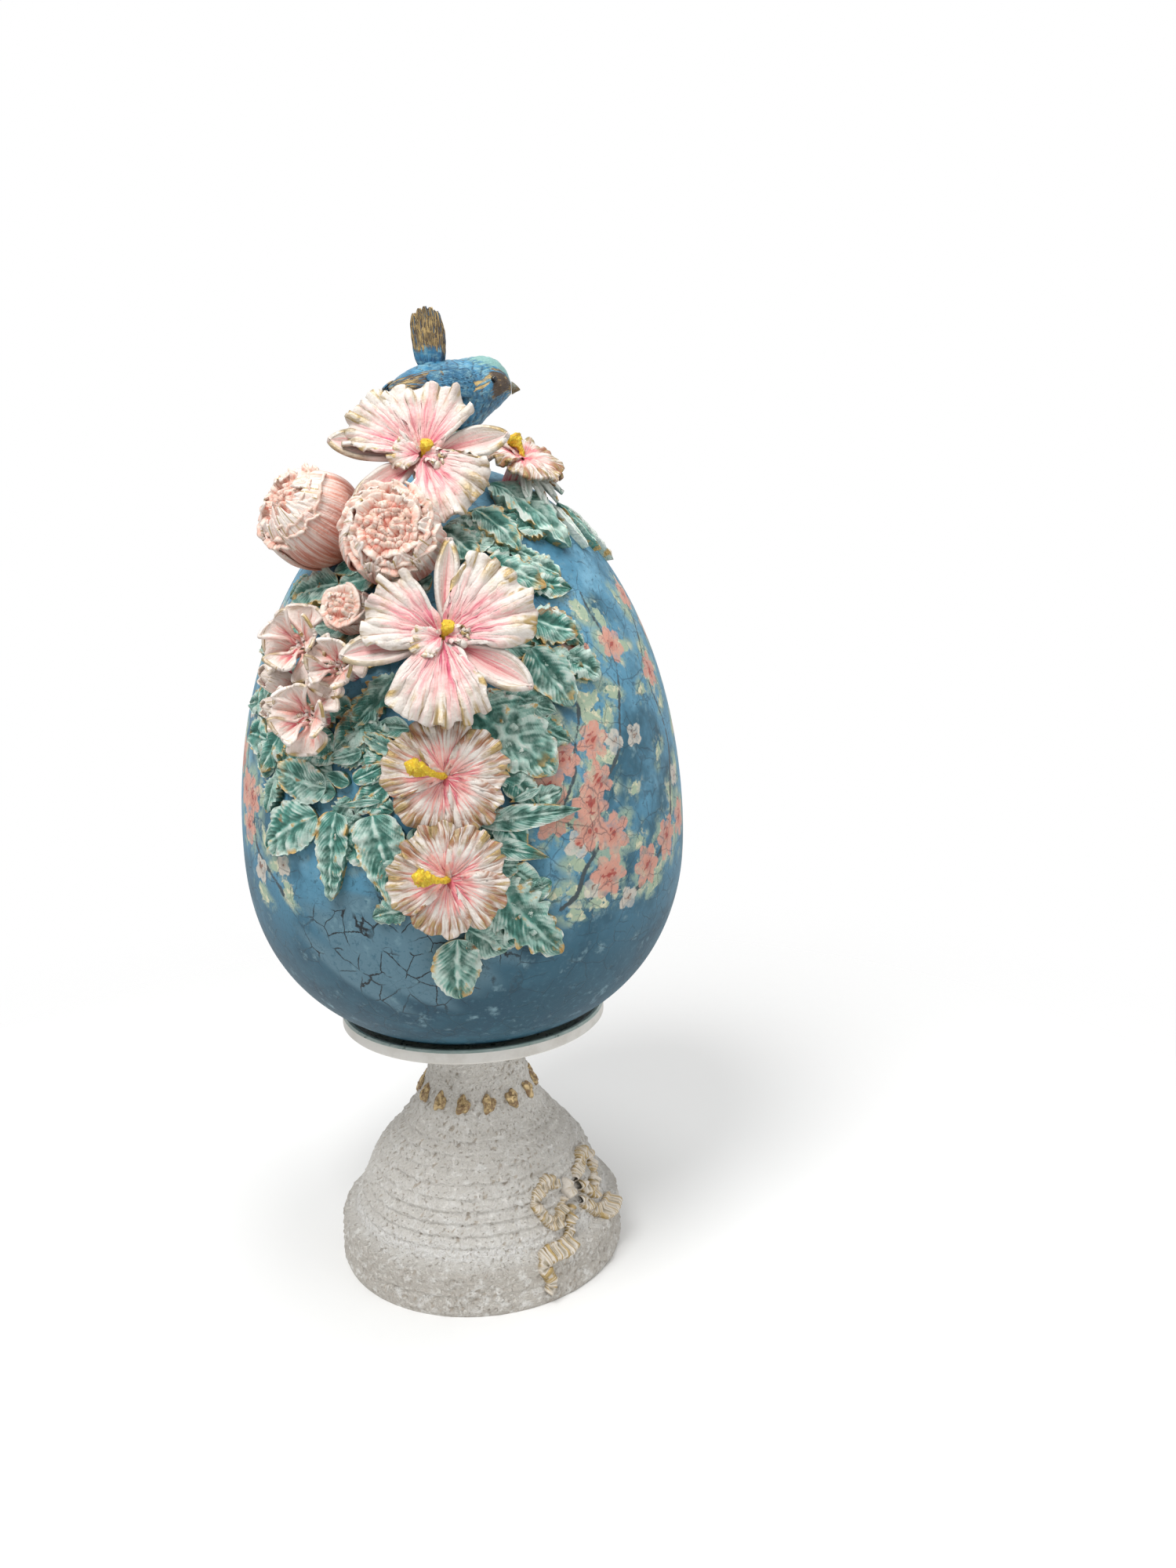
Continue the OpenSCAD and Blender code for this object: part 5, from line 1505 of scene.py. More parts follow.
    def build_drops(self) -> None:
        """Build the pressed gold dabs, each a little different."""
        width, height, depth = self.drop_size
        u, angle = span(0, 1, 9), turns(28)
        sheets = []
        for k in range(self.drops):
            rng = np.random.default_rng(700 + k)
            size = 0.98 + 0.16 * np.sin(3 * angle + rng.uniform(0, 6)) + 0.1 * np.sin(5 * angle + k)
            x = width / 2 * (1 - 0.94 * u ** 1.5) * size * np.cos(angle)
            y = height / 2 * (1 - 0.94 * u ** 1.5) * size * np.sin(angle)
            lump = 1.2 + 0.35 * wander(angle / 6.283 + u, rng, 2)
            z = 0.1 + depth * np.sin(u * math.pi / 2) ** 0.6 * lump
            turn = np.degrees(x / self.profile(self.drop_z))
            points = self.on_foot(self.drop_turn + 360 * k / self.drops + turn, self.drop_z + y, z)
            sheets.append(Sheet.of(points, u, np.sin(angle), k, 0, ring=True))
        add_piece("gilt_drops", "_wax", sheets, GoldWax("Gold wax over pressed clay"), "gold_wax",
                  body="stand")

    def ribbon(self, shares: Sequence[Place], seed: int) -> Sheet:
        """Shape one pleated run of the ribbon along a line of shares of the bow's size.

        Args:
            shares: places that the run passes.
            seed: seed of its pleats.

        Returns:
            The run's sheet.
        """
        rng = np.random.default_rng(seed)
        knots = np.array(shares, float) * np.array(self.bow_size)
        length = np.concatenate([[0], np.cumsum(np.linalg.norm(np.diff(knots, axis=0), axis=1))])
        steps = np.linspace(0, length[-1], int(length[-1] * 2.4))
        line = np.stack([smooth_lookup(steps, length, knots[:, i]) for i in (0, 1)], -1)
        along = np.gradient(line, axis=0)
        along /= np.linalg.norm(along, axis=1, keepdims=True)
        c = np.array([-1, -1, -0.8, -0.55, -0.25, 0, 0.25, 0.55, 0.8, 1, 1])[None, :]
        s = (steps / length[-1])[:, None]
        pleat = 0.5 + 0.5 * np.sin(2 * math.pi * steps[:, None] / 3.3 + 0.9 * c + 0.8 * wander(s, rng, 5))
        taper = np.minimum(1, 0.55 + 6 * s) * np.minimum(1, 0.55 + 6 * (1 - s))
        half = self.ribbon_w / 2 * taper * (0.86 + 0.14 * pleat)
        x = line[:, :1] + c * half * along[:, 1:]
        y = line[:, 1:] - c * half * along[:, :1]
        crown = np.sqrt(np.clip(1 - c ** 4, 0, 1)) * 0.75 + 0.25
        z = self.lift + self.ribbon_t * crown * (0.5 + 0.6 * pleat)
        z = np.where(np.arange(c.shape[1])[None, :] % (c.shape[1] - 1) == 0, -0.4, z)
        turn = np.degrees(x / self.radius)
        points = self.on_foot(self.knot[0] + turn, self.knot[1] + y, z)
        crest = np.maximum(2.2 * pleat - 1.15, 3 * np.abs(c) - 1.9) + 0.6 * wander(s, rng, 6)
        return Sheet.of(points, 0.99, 5 * s, seed, np.clip(crest, -1, 1))

    def build_bow(self) -> None:
        """Build loops, tails and knot."""
        sheets = [self.ribbon(run, 720 + i) for i, run in enumerate(self.runs)]
        u, angle = span(0, 1, 8), turns(24)
        radius = self.ribbon_w * 0.78 * (1 - u ** 1.7) * (1 + 0.08 * np.sin(5 * angle))
        z = 0.1 + (self.lift + self.ribbon_t * 1.4) * np.sin(u * math.pi / 2) ** 0.7
        turn = np.degrees(radius * np.cos(angle) / self.radius)
        sheets.append(Sheet.of(self.on_foot(self.knot[0] + turn, self.knot[1] + radius * np.sin(angle), z),
                               0.5 + 0.5 * u, np.sin(angle), 3, 0.6 * np.sin(5 * angle) * u, ring=True))
        add_piece("ribbon_bow", "_cast", sheets, RIBBON, "ribbon_white_gold", body="stand")

    def build(self) -> None:
        """Dress the foot and build what sits on it."""
        self.build_skin()
        self.build_drops()
        self.build_bow()


@dataclass
class Saucer:
    """Shallow saucer that the egg stands in."""

    node: str = "saucer"

    def build(self) -> None:
        """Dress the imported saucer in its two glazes."""
        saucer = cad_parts[self.node]
        saucer.data.materials.clear()
        saucer.data.materials.append(TwoGlazeSaucer("Green gloss glaze and bare slip").material())


@dataclass(frozen=True)
class Blossom:
    """A brushed blossom on the egg."""

    place: Place
    size: float
    petals: int = 5
    turn: float = 0.0
    salmon: bool = True


@dataclass
class EggBody:
    """The egg with its brushed blossoms on twigs.

    bare is the distance from an outline, in millimetres, that stands for bare ground.
    """

    columns: int = 560
    rows: int = 420
    bare: float = 12.0
    patch_at: Place = (-15.0, -12.0)
    patch_size: tuple[float, float] = (44.0, 30.0)
    blossoms: Sequence[Blossom] = ()
    twigs: Sequence[Sequence[tuple[float, float, float]]] = ()
    sprigs: Sequence[tuple[Place, float, float]] = ()

    def twig_gap(self, x: Array, y: Array, start: Sequence[float], end: Sequence[float]) -> Array:
        """Millimetres from the rim of one length of a twig.

        Args:
            x: millimetres to the right of its start.
            y: millimetres up from its start.
            start: azimuth, latitude and half width at its start.
            end: the same at its end.

        Returns:
            The distance of each point, below zero inside the twig.
        """
        (a0, l0, w0), (a1, l1, w1) = start, end
        middle = (l0 + l1) / 2
        end_x = math.radians(a1 - a0) * float(SKIN.profile(middle)[0])
        end_y = (l1 - l0) * float(SKIN.degree(middle))
        share = np.clip((x * end_x + y * end_y) / (end_x ** 2 + end_y ** 2), 0, 1)
        return np.hypot(x - share * end_x, y - share * end_y) - (w0 + (w1 - w0) * share)

    def build(self) -> None:
        """Build the skin and write each point's distance from the painted outlines."""
        lat = np.concatenate([[SKIN.flat_lat] * 4, np.linspace(SKIN.flat_lat, 90, self.rows)])[:, None]
        shrink = np.concatenate([[0, 0.35, 0.7, 0.93], np.ones(self.rows)])[:, None, None]
        azimuth = np.linspace(-180, 180, self.columns, endpoint=False)[None, :]
        rng = np.random.default_rng(3)
        dents = 0.12 * wander(azimuth / 60 + lat / 50, rng, 1.0) * np.cos(np.radians(lat)) - 0.2
        skin = SKIN.at(azimuth, lat, dents)
        skin[..., :2] *= shrink
        radius, _ = SKIN.profile(lat)
        degree = SKIN.degree(lat)

        def offset(place: Place) -> tuple[Array, Array]:
            """Millimetres to the right of a place and up from it."""
            mean_r = (radius + SKIN.profile(place[1])[0]) / 2
            return (np.radians(np.mod(azimuth - place[0] + 180, 360) - 180) * mean_r,
                    (lat - place[1]) * degree + 0 * azimuth)

        shape = skin.shape[:2]
        fields = {key: np.full(shape, self.bare) for key in ("salmon", "white", "twig", "sprig")}
        heart, spoke = np.full(shape, 2.0), np.zeros(shape)
        for line in self.twigs:
            for start, end in zip(line[:-1], line[1:]):
                fields["twig"] = np.minimum(fields["twig"], self.twig_gap(*offset(start[:2]), start, end))
        for place, size, turn in self.sprigs:
            x, y = offset(place)
            a = math.radians(turn)
            across, up = x * math.cos(a) - y * math.sin(a), y * math.cos(a) + x * math.sin(a)
            for k in range(5):
                side = (k % 2 * 2 - 1) * 0.5
                out, high = across - side * size * 0.3 * (k > 0), up - size * (0.85 - 0.18 * k)
                gap = np.hypot(out * 1.9 - high * side * 1.2, high) - size * 0.3
                fields["sprig"] = np.minimum(fields["sprig"], gap)
        for bloom in self.blossoms:
            x, y = offset(bloom.place)
            distance = np.hypot(x, y)
            angle = np.arctan2(y, x) + math.radians(bloom.turn)
            lobe = np.abs(np.cos(angle * bloom.petals / 2)) ** 0.7
            rim = bloom.size * (0.55 + 0.45 * lobe + 0.03 * np.sin(3 * angle + bloom.size))
            key = "salmon" if bloom.salmon else "white"
            fields[key] = np.minimum(fields[key], distance - rim)
            heart = np.minimum(heart, distance / bloom.size)
            spoke = np.where(distance < bloom.size, np.cos(angle * (12 + bloom.petals)), spoke)
        x, y = offset(self.patch_at)
        ragged = np.hypot(x / self.patch_size[0], y / self.patch_size[1])
        ragged = ragged + 0.12 * wander(x / 40 + y / 30, rng, 1.5)
        fields |= {"heart": heart, "spoke": spoke, "patch": 1 - smoothstep(ragged, 0.75, 1.15)}
        sheet = Sheet.of(skin, (lat + 76) / 166, azimuth / 180, 1, 0, True, **fields)
        add_piece("egg_shell", "_painted", [sheet], PaintedEgg("Blue acrylic under crackled varnish"),
                  "egg_painted")


@dataclass
class Bird:
    """A perching bird with folded wings and a cocked tail, on a tuft of leaves.

    stations hold shares of the length, of the height at the top and at the bottom, and of the width. eyes
    hold their share of the length, radius and angles; beak its length, thickness and share of the height.
    wing_rows hold a row's start, lowest and highest angle, feather width, reach and number of feathers, and
    tail_layers a layer's shift, share of the height and side that it curls to.
    """

    length: float = 54.0
    height: float = 33.0
    width: float = 29.0
    foot_z: float = 382.25
    rest: float = 0.45
    bend: float = 18.36
    bend_rest: float = 0.66
    perch_r: float = 12.2
    face: float = 0.955
    eyes: tuple[float, float, float, float] = (0.79, 1.386, 6, 174)
    beak: tuple[float, float, float] = (3.7, 2.8, 0.6)
    wing_rows: Sequence[tuple[float, float, float, float, float, int]] = (
        (0.3, -24, 34, 6.4, 0.3, 6), (0.44, -18, 35, 5.6, 0.22, 6), (0.57, -4, 32, 5.0, 0.17, 5))
    tail_at: float = 0.32
    tail_lean: float = -5.0
    tail_turn: float = 66.0
    tail_size: tuple[float, float] = (22.0, 13.3)
    tail_layers: Sequence[tuple[float, float, int]] = (
        (-1.5, 1.0, -1), (-0.3, 0.97, -1), (0.9, 0.9, 1), (1.9, 0.8, 1))
    stations: Sequence[tuple[float, float, float, float]] = (
        (0, 0.57, 0.42, 0.12), (0.06, 0.68, 0.28, 0.45), (0.16, 0.8, 0.15, 0.74), (0.28, 0.89, 0.06, 0.93),
        (0.42, 0.935, 0, 1), (0.56, 0.96, 0.015, 0.96), (0.68, 1, 0.1, 0.82), (0.78, 0.995, 0.26, 0.74),
        (0.87, 0.92, 0.38, 0.58), (0.93, 0.79, 0.48, 0.36), (0.955, 0.68, 0.52, 0.18))

    def station(self, share: Array, column: int) -> Array:
        """Top, bottom or width of the body, as a share of its size, at a share of its length."""
        return smooth_lookup(share, [s[0] for s in self.stations], [s[column] for s in self.stations])

    def spine(self, share: Array, z: Array) -> list[Array]:
        """Place on the body's bent middle line, z over its feet."""
        return [self.length * (share - self.rest), self.bend * (1 - (1 - share) ** 2 - self.bend_rest),
                self.foot_z + z]

    def skin(self, share: Array, angle: Array, height: Array) -> Array:
        """Points on the body's skin at a share of its length and an angle round it.

        Args:
            share: share of the length, from the tail.
            angle: degrees from the right side upwards.
            height: height over the skin.

        Returns:
            The points.
        """
        share, angle, height = np.broadcast_arrays(*(np.asarray(v, float) for v in (share, angle, height)))
        top, low, width = (self.station(share, k) for k in (1, 2, 3))
        top, low, width = top * self.height, low * self.height, width * self.width / 2
        turn = np.radians(angle)
        x = (width + height) * np.cos(turn)
        z = (top + low) / 2 + ((top - low) / 2 + height) * np.sin(turn)
        heading = np.arctan(2 * self.bend * (1 - share) / self.length)
        middle_x, middle_y, z = self.spine(share, z)
        return grid(middle_x + x * np.sin(heading), middle_y - x * np.cos(heading), z)

    def build_body(self) -> None:
        """Build the body with its feather relief and painted fields."""
        share = span(0, self.face, 90)
        angle = np.linspace(-180, 180, 96, endpoint=False)[None, :]
        rng = np.random.default_rng(9)
        rows = np.sin(share * 90 + 1.2 * np.sin(np.radians(angle) * 12 + 6.28 * np.floor(share * 14) / 2))
        relief = np.clip(rows, -1, 1) * smoothstep(share, 0.02, 0.2)
        points = self.skin(share, angle, 0.13 * relief - 0.15)
        high = np.sin(np.radians(angle))
        crown = smoothstep(share + 0.12 * wander(angle / 60, rng, 1.0), 0.5, 0.8) * smoothstep(high, 0.3, 0.8)
        mask = smoothstep(share, 0.71, 0.81) * (1 - smoothstep(np.abs(high + 0.05), 0.36, 0.72))
        cheek = smoothstep(share, 0.42, 0.55) * (1 - smoothstep(share, 0.74, 0.8)) * (
            1 - smoothstep(np.abs(high - 0.14), 0.06, 0.3))
        chest = smoothstep(-high, 0.35, 0.8) * smoothstep(share, 0.3, 0.6) * 0.5
        rump = (1 - smoothstep(share, 0.05, 0.2)) * 0.3
        gold = smoothstep(share, 0.9, 0.95) * 0.3 + 0.3 * mask * wander(angle / 25, rng, 2) + 0.48 * cheek
        bronze = np.maximum(0.85 * mask, 0.5 * cheek) + rump
        sheet = Sheet.of(points, share, angle / 180, 4, relief, True, crown=np.clip(crown, 0, 1),
                         bronze=np.clip(bronze, 0, 1), gold=np.clip(gold + chest * 0.3, 0, 1))
        add_piece("bird_body", "_cast", [sheet], BLUE_FEATHERS, "bird_blue")

    def feather(self, root: Array, tip: Array, out: Array, width: float, seed: int, curl: float,
                gold: Array, bronze: Array) -> Sheet:
        """Shape one feather.

        Args:
            root: where it starts.
            tip: where it ends.
            out: direction that it is curved away along.
            width: its width.
            seed: seed of its barbs.
            curl: how far its middle is raised.
            gold: how much gold wax lies on it, for each row of points or for all.
            bronze: how much bronze wax, likewise.

        Returns:
            The feather's sheet.
        """
        s, c = span(0, 1, 22), span(-1, 1, 9).T
        across = np.cross(tip - root, out)
        across /= np.linalg.norm(across)
        half = width / 2 * np.minimum(1, 0.5 + 3 * s) * np.clip(1 - s ** 6, 0.05, 1) ** 0.5
        lift = curl * np.sin(math.pi * s) + 0.25 * (1 - np.abs(c)) + 0.16 * np.sin(26 * s + 6 * np.abs(c))
        points = root + (tip - root) * s[..., None] + across * (c * half)[..., None] + out * lift[..., None]
        return Sheet.of(points, 0.25 * s, 0.12 * c, seed, np.exp(-(c / 0.2) ** 2) - 0.8 * np.abs(c),
                        crown=0, bronze=bronze, gold=gold)

    def build_wings(self) -> None:
        """Build the folded wings out of three overlapping rows of feathers."""
        sheets = []
        for side, base in ((1, 0), (-1, 180)):
            for row, (start, low, high, size, reach, count) in enumerate(self.wing_rows):
                for k in range(count):
                    angle = low + (high - low) * (k + 0.5) / count
                    root = self.skin(start + 0.02 * (k % 2), base + side * angle, 1.1 + 0.25 * row)
                    tip = self.skin(start - reach - 0.015 * (k % 3), base + side * (angle * 0.8 + 2),
                                    0.9 + 0.3 * row)
                    inner, outer = (self.skin(start - reach / 2, base + side * angle, h) for h in (1.0, 2.0))
                    sheets.append(self.feather(root, tip, outer - inner, size, 40 + 10 * row + k, 0.3,
                                               0.3 if row == 0 and k % 2 else 0.08, 0.6 if row == 0 else 0.1))
        add_piece("bird_wings", "_cast", sheets, BLUE_FEATHERS, "bird_blue", 0.7)

    def build_tail(self) -> None:
        """Build the cocked tail out of overlapping ribbed feathers."""
        lean, turn = math.radians(self.tail_lean), math.radians(self.tail_turn)
        long, wide = self.tail_size
        base = np.array(self.spine(self.tail_at, float(self.station(self.tail_at, 1)) * self.height - 1.6))
        across = np.array([math.sin(turn), -math.cos(turn), 0])
        out = np.array([math.cos(turn), math.sin(turn), 0])
        up = out * math.sin(lean) + np.array([0, 0, math.cos(lean)])
        s = span(0, 1, 22)
        sheets = []
        for layer, (shift, height, side) in enumerate(self.tail_layers):
            for k in range(5):
                place = min(max((k - 2) / 2 + 0.12 * (layer % 2), -1), 1)
                foot = base + across * place * wide * 0.3 + out * (shift * 0.7)
                tip = base + up * (long + 1.4) * height * (1 - 0.1 * place ** 2)
                tip = tip + across * place * wide * 0.4 + out * shift
                gold = 0.36 * smoothstep(s, 0.2, 0.35) + 0.06 * (k % 2)
                sheets.append(self.feather(foot, tip, out * side, 5.0, 80 + 7 * layer + k, 0.25, gold,
                                           0.75 * smoothstep(s, 0.12, 0.4)))
        add_piece("bird_tail", "_cast", sheets,
                  PaintedFeathers("Bronze wax on cast feathers", "#2d5f86", "#15181a"), "bird_bronze", 0.7)

    def build_face(self) -> None:
        """Build the eyes and the beak."""
        rise, angle = np.radians(span(-90, 90, 14)), turns(24)
        at, radius, *sides = self.eyes
        sheets = []
        for side in sides:
            ball = grid(radius * np.cos(rise) * np.cos(angle), radius * np.cos(rise) * np.sin(angle),
                        radius * np.sin(rise))
            sheets.append(Sheet.of(self.skin(at, side, 0) + ball, 0.5, 0.5, 1, 0, ring=True))
        add_piece("bird_eyes", "_bead", sheets, GlossBead("Black gloss enamel"), "bird_eye")
        u, turn = span(0, 1, 12), turns(20)
        long, thick, at = self.beak
        x, y, z = self.spine(self.face, self.height * at)
        size = thick * (1 - 0.9 * u ** 1.15)
        split = 1 - 0.16 * np.exp(-((np.sin(turn) + 0.1) / 0.12) ** 2)
        points = grid(x + 0.35 + long * u, y + size * 0.8 * np.cos(turn) * split,
                      z + size * np.sin(turn) - 0.7 * u ** 2)
        beak = Sheet.of(points, u, np.sin(turn), 1, 0.4 * np.sin(3 * turn) * u, True, gold=0.35, bronze=0.45,
                        crown=0)
        horn = PaintedFeathers("Bronze wax on a cast beak", "#5e4630", "#33271b", "#7c6140")
        add_piece("bird_beak", "_cast", [beak], horn, "bird_bronze")

    def build_perch(self) -> None:
        """Build the mound of small leaves under the bird."""
        u, angle = span(0, 1, 20), turns(80)
        radius = self.perch_r * smooth_lookup(u, [0, 0.3, 0.6, 1], [1.0, 0.9, 0.76, 0.52])
        radius = radius * (1 + 0.1 * np.sin(7 * angle + 8 * u) + 0.04 * np.sin(17 * angle))
        low = SKIN.waist_z + SKIN.top_h * np.sqrt(np.clip(1 - (radius / SKIN.radius) ** 2, 0, 1))
        z = low + (self.foot_z + 1.4 - low) * smoothstep(u, 0.0, 1.0) ** 0.8
        ridge = np.sin(7 * angle + 8 * u)
        mound = Sheet.of(turned(radius, angle, z), u, np.sin(7 * angle), 6, ridge, ring=True)
        add_piece("perch", "_cast", [mound], GREEN_LEAF, "leaf_green")

    def build(self) -> None:
        """Build perch, body, wings, tail and face."""
        self.build_perch()
        self.build_body()
        self.build_wings()
        self.build_tail()
        self.build_face()


@dataclass
class StudioStage:
    """Pale floor, three soft lamps and the camera at the photograph's angle."""

    camera_at: tuple[float, float, float] = (9.3167, -544.198, 333.9322)
    yaw: float = 0.0871
    pitch: float = 0.1969
    roll: float = -0.0222
    lens_mm: float = 27.5321
    world_level: float = 0.5
    lamps: Sequence[tuple[str, tuple[float, float, float], float, float]] = (
        ("key", (-420, -640, 1250), 620, 12.0), ("fill", (900, -700, 500), 900, 2.4),
        ("top", (150, -60, 1400), 600, 5.0))

    def aim(self, thing: bpy.types.Object, eye: Array, ahead: Array, roll: float) -> None:
        """Set an object at eye, looking ahead, turned by roll.

        Args:
            thing: the object.
            eye: its place in metres.
            ahead: unit vector that it looks along.
            roll: turn about that vector, in radians.
        """
        right = np.cross(ahead, [0, 0, 1.0])
        right /= np.linalg.norm(right)
        up = np.cross(right, ahead)
        side = math.cos(roll) * right + math.sin(roll) * up
        top = math.cos(roll) * up - math.sin(roll) * right
        rows = np.stack([side, top, -ahead, eye], 1)
        thing.matrix_world = Matrix([*rows.tolist(), [0, 0, 0, 1]])

    def build_camera(self) -> None:
        """Create the camera."""
        lens = bpy.data.cameras.new("camera")
        lens.sensor_width, lens.sensor_fit, lens.lens = 36, "AUTO", self.lens_mm
        lens.clip_start, lens.clip_end = 0.01, 50
        camera = bpy.data.objects.new("camera", lens)
        bpy.context.scene.collection.objects.link(camera)
        level = math.cos(self.pitch)
        ahead = np.array([math.sin(self.yaw) * level, math.cos(self.yaw) * level, -math.sin(self.pitch)])
        self.aim(camera, np.array(self.camera_at) * MM, ahead, self.roll)
        bpy.context.scene.camera = camera

    def build_lamps(self) -> None:
        """Create the soft lamps."""
        for name, place, size, power in self.lamps:
            lamp = bpy.data.lights.new(name, "AREA")
            lamp.shape, lamp.size, lamp.energy = "DISK", size * MM, power
            thing = bpy.data.objects.new(name, lamp)
            bpy.context.scene.collection.objects.link(thing)
            eye = np.array(place) * MM
            ahead = np.array([0, 0, 0.22]) - eye
            self.aim(thing, eye, ahead / np.linalg.norm(ahead), 0)

    def build_world(self) -> None:
        """Light the scene evenly, and show white behind the object and in its gloss."""
        world = bpy.data.worlds.new("studio")
        bpy.context.scene.world = world
        world.use_nodes = True
        tree = world.node_tree
        seen = add_node(tree, "LightPath", output="Is Camera Ray")
        rays = seen.node.outputs
        for ray in ("Is Glossy Ray", "Is Transmission Ray"):
            seen = add_node(tree, "Math", {"operation": "MAXIMUM", 0: seen, 1: rays[ray]})
        level = add_node(tree, "MapRange", {"To Min": self.world_level, "To Max": 1.0, "Value": seen})
        ground = tree.nodes["Background"]
        ground.inputs["Color"].default_value = (1, 1, 1, 1)
        tree.links.new(level, ground.inputs["Strength"])

    def build_floor(self) -> None:
        """Lay the floor, which fades to the background's white."""
        bpy.ops.mesh.primitive_plane_add(size=14)
        floor = bpy.context.object
        floor.name = "floor"
        made = bpy.data.materials.new("White card floor")
        made.use_nodes = True
        shader = made.node_tree.nodes["Principled BSDF"]
        brush = Brush(made.node_tree, shader)
        brush.dress(linear("#fbfbfa"), 0.9)
        shader.inputs["Specular IOR Level"].default_value = 0.1
        place = brush.add("TexCoord", output="Object")
        far = brush.add("VectorMath", {"operation": "LENGTH", 0: place}, "Value")
        mixed = brush.add("MixShader", {0: brush.ranged(far, 0.2, 0.6), 1: shader.outputs[0],
                                        2: brush.add("BsdfTransparent")})
        made.node_tree.links.new(mixed, made.node_tree.nodes["Material Output"].inputs["Surface"])
        floor.data.materials.append(made)

    def build(self) -> None:
        """Build camera, lamps, world and floor."""
        scene = bpy.context.scene
        scene.view_settings.view_transform = "Standard"
        self.build_camera()
        self.build_lamps()
        self.build_world()
        self.build_floor()


def blooms() -> list[Bloom]:
    """The orchids and hibiscus, and the magnolias, peonies and buds on the left.

    Returns:
        The blooms.
    """
    return [
        Orchid("middle_orchid", (-2.3, 33.3), (2, 3), 12.24,
               sepals=((83, 24, 1), (187, 34, 1.02), (324, 36, 1)),
               petals=((149, 44, 0.8), (29, 48, 0.94), (262, 48, 0.9)), lip=(205, 60)),
        Orchid("top_orchid", (-10, 64), (6, 32), 19.38,
               sepals=((12, 34, 0.92), (168, 34, 0.99), (216, 34, 0.9)),
               petals=((80, 54, 0.76), (306, 54, 0.76), (148, 34, 0.84)), lip=(190, 60)),
        Hibiscus("upper_hibiscus", (-3, 15.2), (0, 4), 7.02),
        Hibiscus("lower_hibiscus", (-3, 2), (3, -2), 9.9, radius=22.08, turn=40, stamen_l=13.5, toward=164),
        Hibiscus("back_hibiscus", (48, 70), (-6, 4), 10.8, radius=17.48, stamen_l=9, toward=100,
                 sepals=(-118, -96, -72, -44)),
        Magnolia("cluster_bloom_upper", (-39.5, 32.8), (12, 4), 6.3, radius=12.65, turn=80),
        Magnolia("cluster_bloom_right", (-27, 29.8), (10, 6), 6.93, radius=10.12, turn=20),
        Magnolia("cluster_bloom_lower", (-33.2, 22.8), (12, 2), 7.56, radius=12.14, turn=50),
        Peony("left_peony", (-46.5, 52.2), (0, 12), 17.5, turn=12, cover=0.45, facing=-20),
        Peony("centre_peony", (-15.8, 48.6), (12, 20), 17.5, turn=30),
        Peony("rosebud", (-26.5, 38), (4, 8), 10.0, radius=8.6, height=20, outer=4, cover=0.1,
              rings=((0.66, 4),), crinkle=0.5),
        Bud("ball_bud", (-48.6, 28), (-4, 4), 7.0, radius=6.5, height=14),
        Bud("small_peony_bud", (-46.5, 23.5), (-6, 4), 6.6, radius=5.3, height=13.2),
    ]


def leaves() -> list[Leaf]:
    """Every CAD leaf with its relief.

    Returns:
        The leaves.
    """
    finishes = {"leaf_white_narrow": PALE_LEAF, "leaf_gilt": GILT_LEAF, "leaf_gilt_jagged": GILT_LEAF,
                "leaf_outline_right": PALE_LEAF}
    built = []
    for i, (node, rows) in enumerate(LEAF_ROWS.items()):
        forms = [LeafForm(place, turn, length * LEAF_L, width * LEAF_W, kind, 7 * i + k, 1.2)
                 for k, (place, turn, length, width, kind) in enumerate(rows)]
        built.append(Leaf(node, forms, finishes.get(node, GREEN_LEAF),
                          "leaf_white" if node == "leaf_white_narrow" else "leaf_green"))
    return built


# Millimetres between the small leaves, and rows of the spray as latitude and the azimuths it spans there
SPRAY_STEP = 10.5
SPRAY_ROWS = ((12.5, -30, -12), (17.5, -40, -14), (23, -36, -16), (-8, 0, 14), (-3, -12, 15), (3, -20, 13),
              (9, -28, 19), (15, -50, 17), (20, -55, 18), (26, -58, 27), (32, -62, 31), (38, -62, 31),
              (44, -58, 30), (50, 0, 32), (56, -8, 34), (62, -4, 40))


def undergrowth() -> Leaf:
    """The small leaves that fill the spray between the blooms.

    Returns:
        The undergrowth as one leaf of many forms.
    """
    rng = np.random.default_rng(77)
    forms = []
    for lat, low, high in SPRAY_ROWS:
        step = math.degrees(SPRAY_STEP / float(SKIN.profile(lat)[0]))
        for azimuth in np.arange(low, high, step):
            place = (azimuth + rng.uniform(-0.3, 0.3) * step, lat + rng.uniform(-2, 2))
            side = 1 if place[0] > -12 + 0.2 * lat else -1
            turn = side * rng.uniform(60, 165)
            kind = (ROUND, JAGGED, FERN, SPEAR)[int(rng.integers(4))]
            length = rng.uniform(13, 19)
            width = length * rng.uniform(0.55, 0.85)
            forms.append(LeafForm(place, turn, length, width, kind, int(rng.integers(900)),
                                  rng.uniform(-0.9, 0.2)))
    return Leaf("undergrowth", forms, GREEN_LEAF)


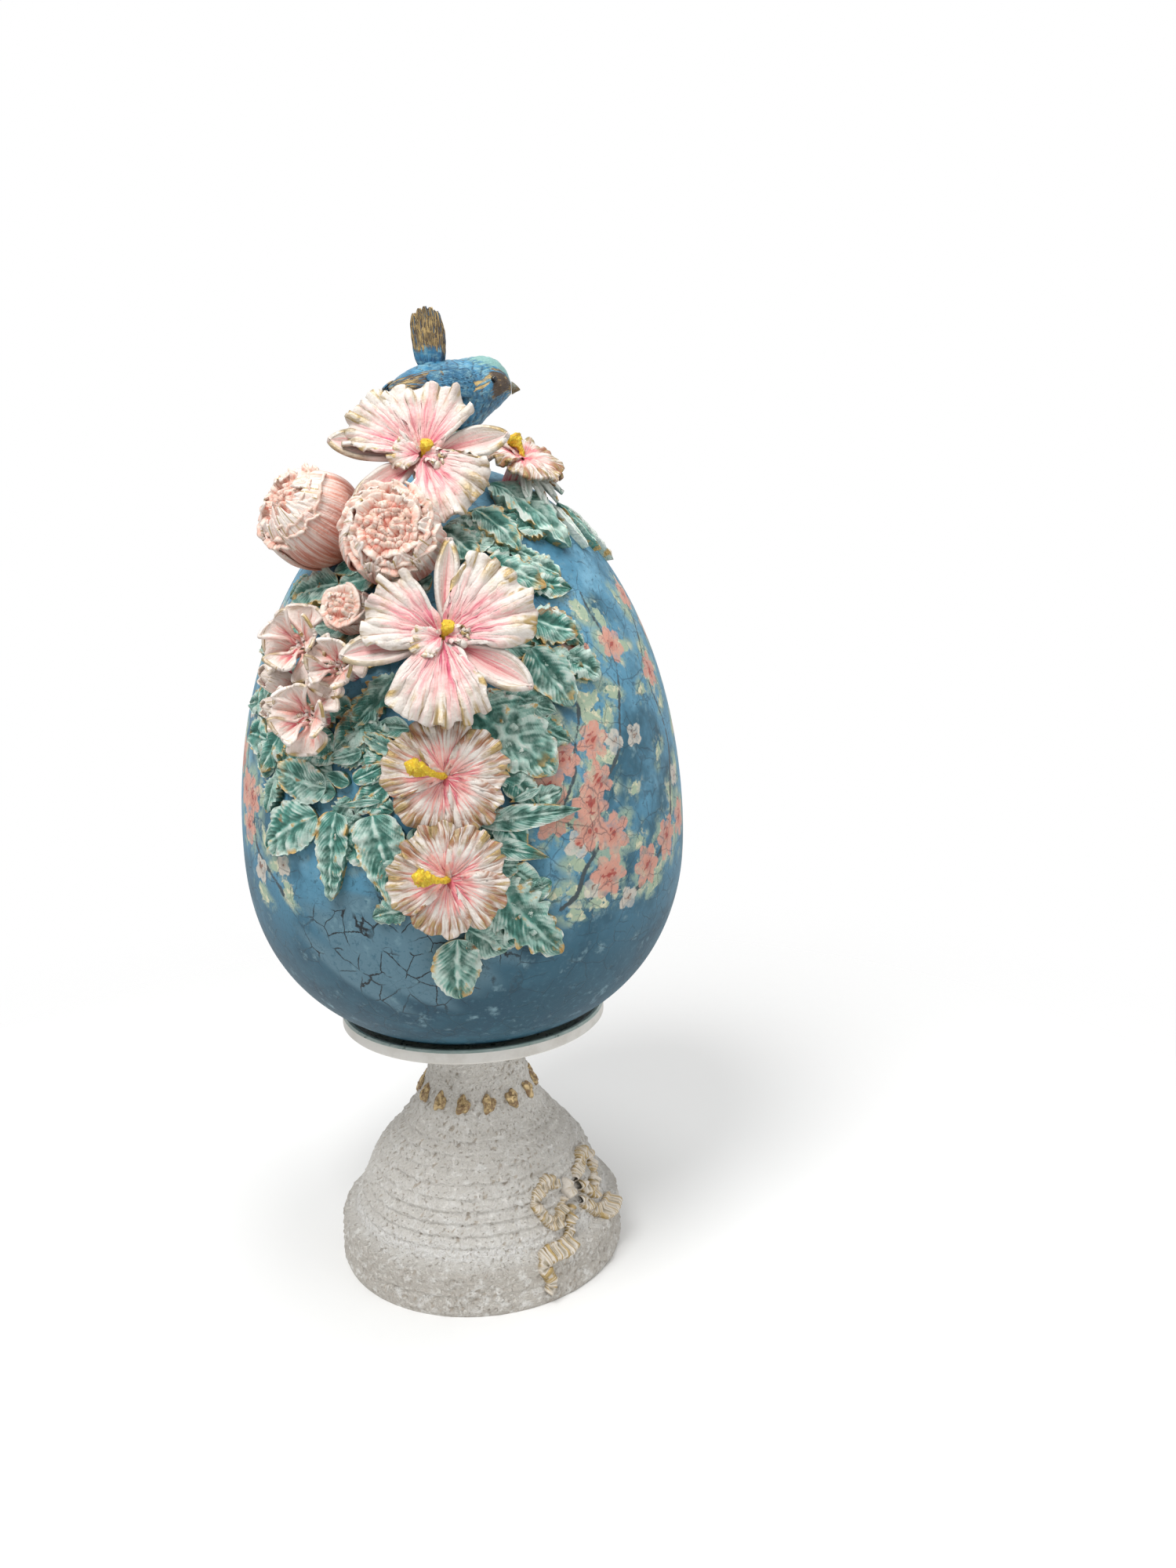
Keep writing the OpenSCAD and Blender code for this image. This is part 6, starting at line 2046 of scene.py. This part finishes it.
# Stems of the painted spray, each as the places that it passes
STEMS = (((22, -6), (31, 2), (36, 12), (46, 24), (44, 42)), ((44, -6), (56, 0), (66, 12), (64, 28), (74, 46)),
         ((31, 2), (24, 10), (30, 20), (26, 32)), ((-48, -4), (-60, 4), (-68, 14), (-74, 26), (-68, 42)),
         ((84, -18), (92, 2), (84, 22), (96, 42)), ((-90, -20), (-96, 4), (-88, 24), (-104, 44)),
         ((118, -24), (128, -2), (118, 20), (132, 44)), ((152, -22), (146, 4), (160, 26), (152, 50)),
         ((180, -20), (186, 6), (178, 30), (190, 52)), ((-124, -22), (-116, 2), (-130, 24), (-120, 48)),
         ((-150, -20), (-156, 6), (-146, 28), (-154, 50)))


def painted_egg() -> EggBody:
    """The egg with a generic design of trailing stems, six- and four-petalled flowers and paired leaves.

    Returns:
        The egg.
    """
    rng = np.random.default_rng(21)
    twigs, blossoms, sprigs = [], [], []
    for stem in STEMS:
        knots = np.array(stem, float)
        places = np.linspace(0, len(stem) - 1, 30)
        line = np.stack([smooth_lookup(places, range(len(stem)), knots[:, i]) for i in (0, 1)], -1)
        line[:, 0] += 1.2 * np.sin(places * 6)
        twigs.append([(a, b, 0.9 - 0.5 * i / 29) for i, (a, b) in enumerate(line)])
        for i in range(2, 30, 3):
            azimuth, lat = line[i] + rng.uniform(-5, 5, 2) * (1.6, 0.8)
            salmon = bool(rng.random() < 0.55)
            if lat > 20 and i % 2:
                continue
            size = rng.uniform(7.5, 9.5) if salmon else rng.uniform(4.5, 6.5)
            blossoms.append(Blossom((azimuth, lat), size, 6 if salmon else 4, rng.uniform(0, 90), salmon))
        for i in range(0, 30, 2):
            azimuth, lat = line[i] + rng.uniform(-7, 7, 2) * (1.4, 0.7)
            sprigs.append(((azimuth, lat), rng.uniform(5, 8.5), rng.uniform(-80, 80)))
    return EggBody(blossoms=blossoms, twigs=twigs, sprigs=sprigs)


def main() -> None:
    """Build every sub-assembly in order."""
    logging.basicConfig(level=logging.INFO, format="%(name)s: %(message)s")
    StudioStage().build()
    for part in [Foot(), Saucer(), painted_egg(), *blooms(), *leaves(), undergrowth(), Bird()]:
        part.build()
        LOG.info("built %s", getattr(part, "name", getattr(part, "node", type(part).__name__)))
    bpy.context.view_layer.update()


if __name__ == "__main__":
    main()
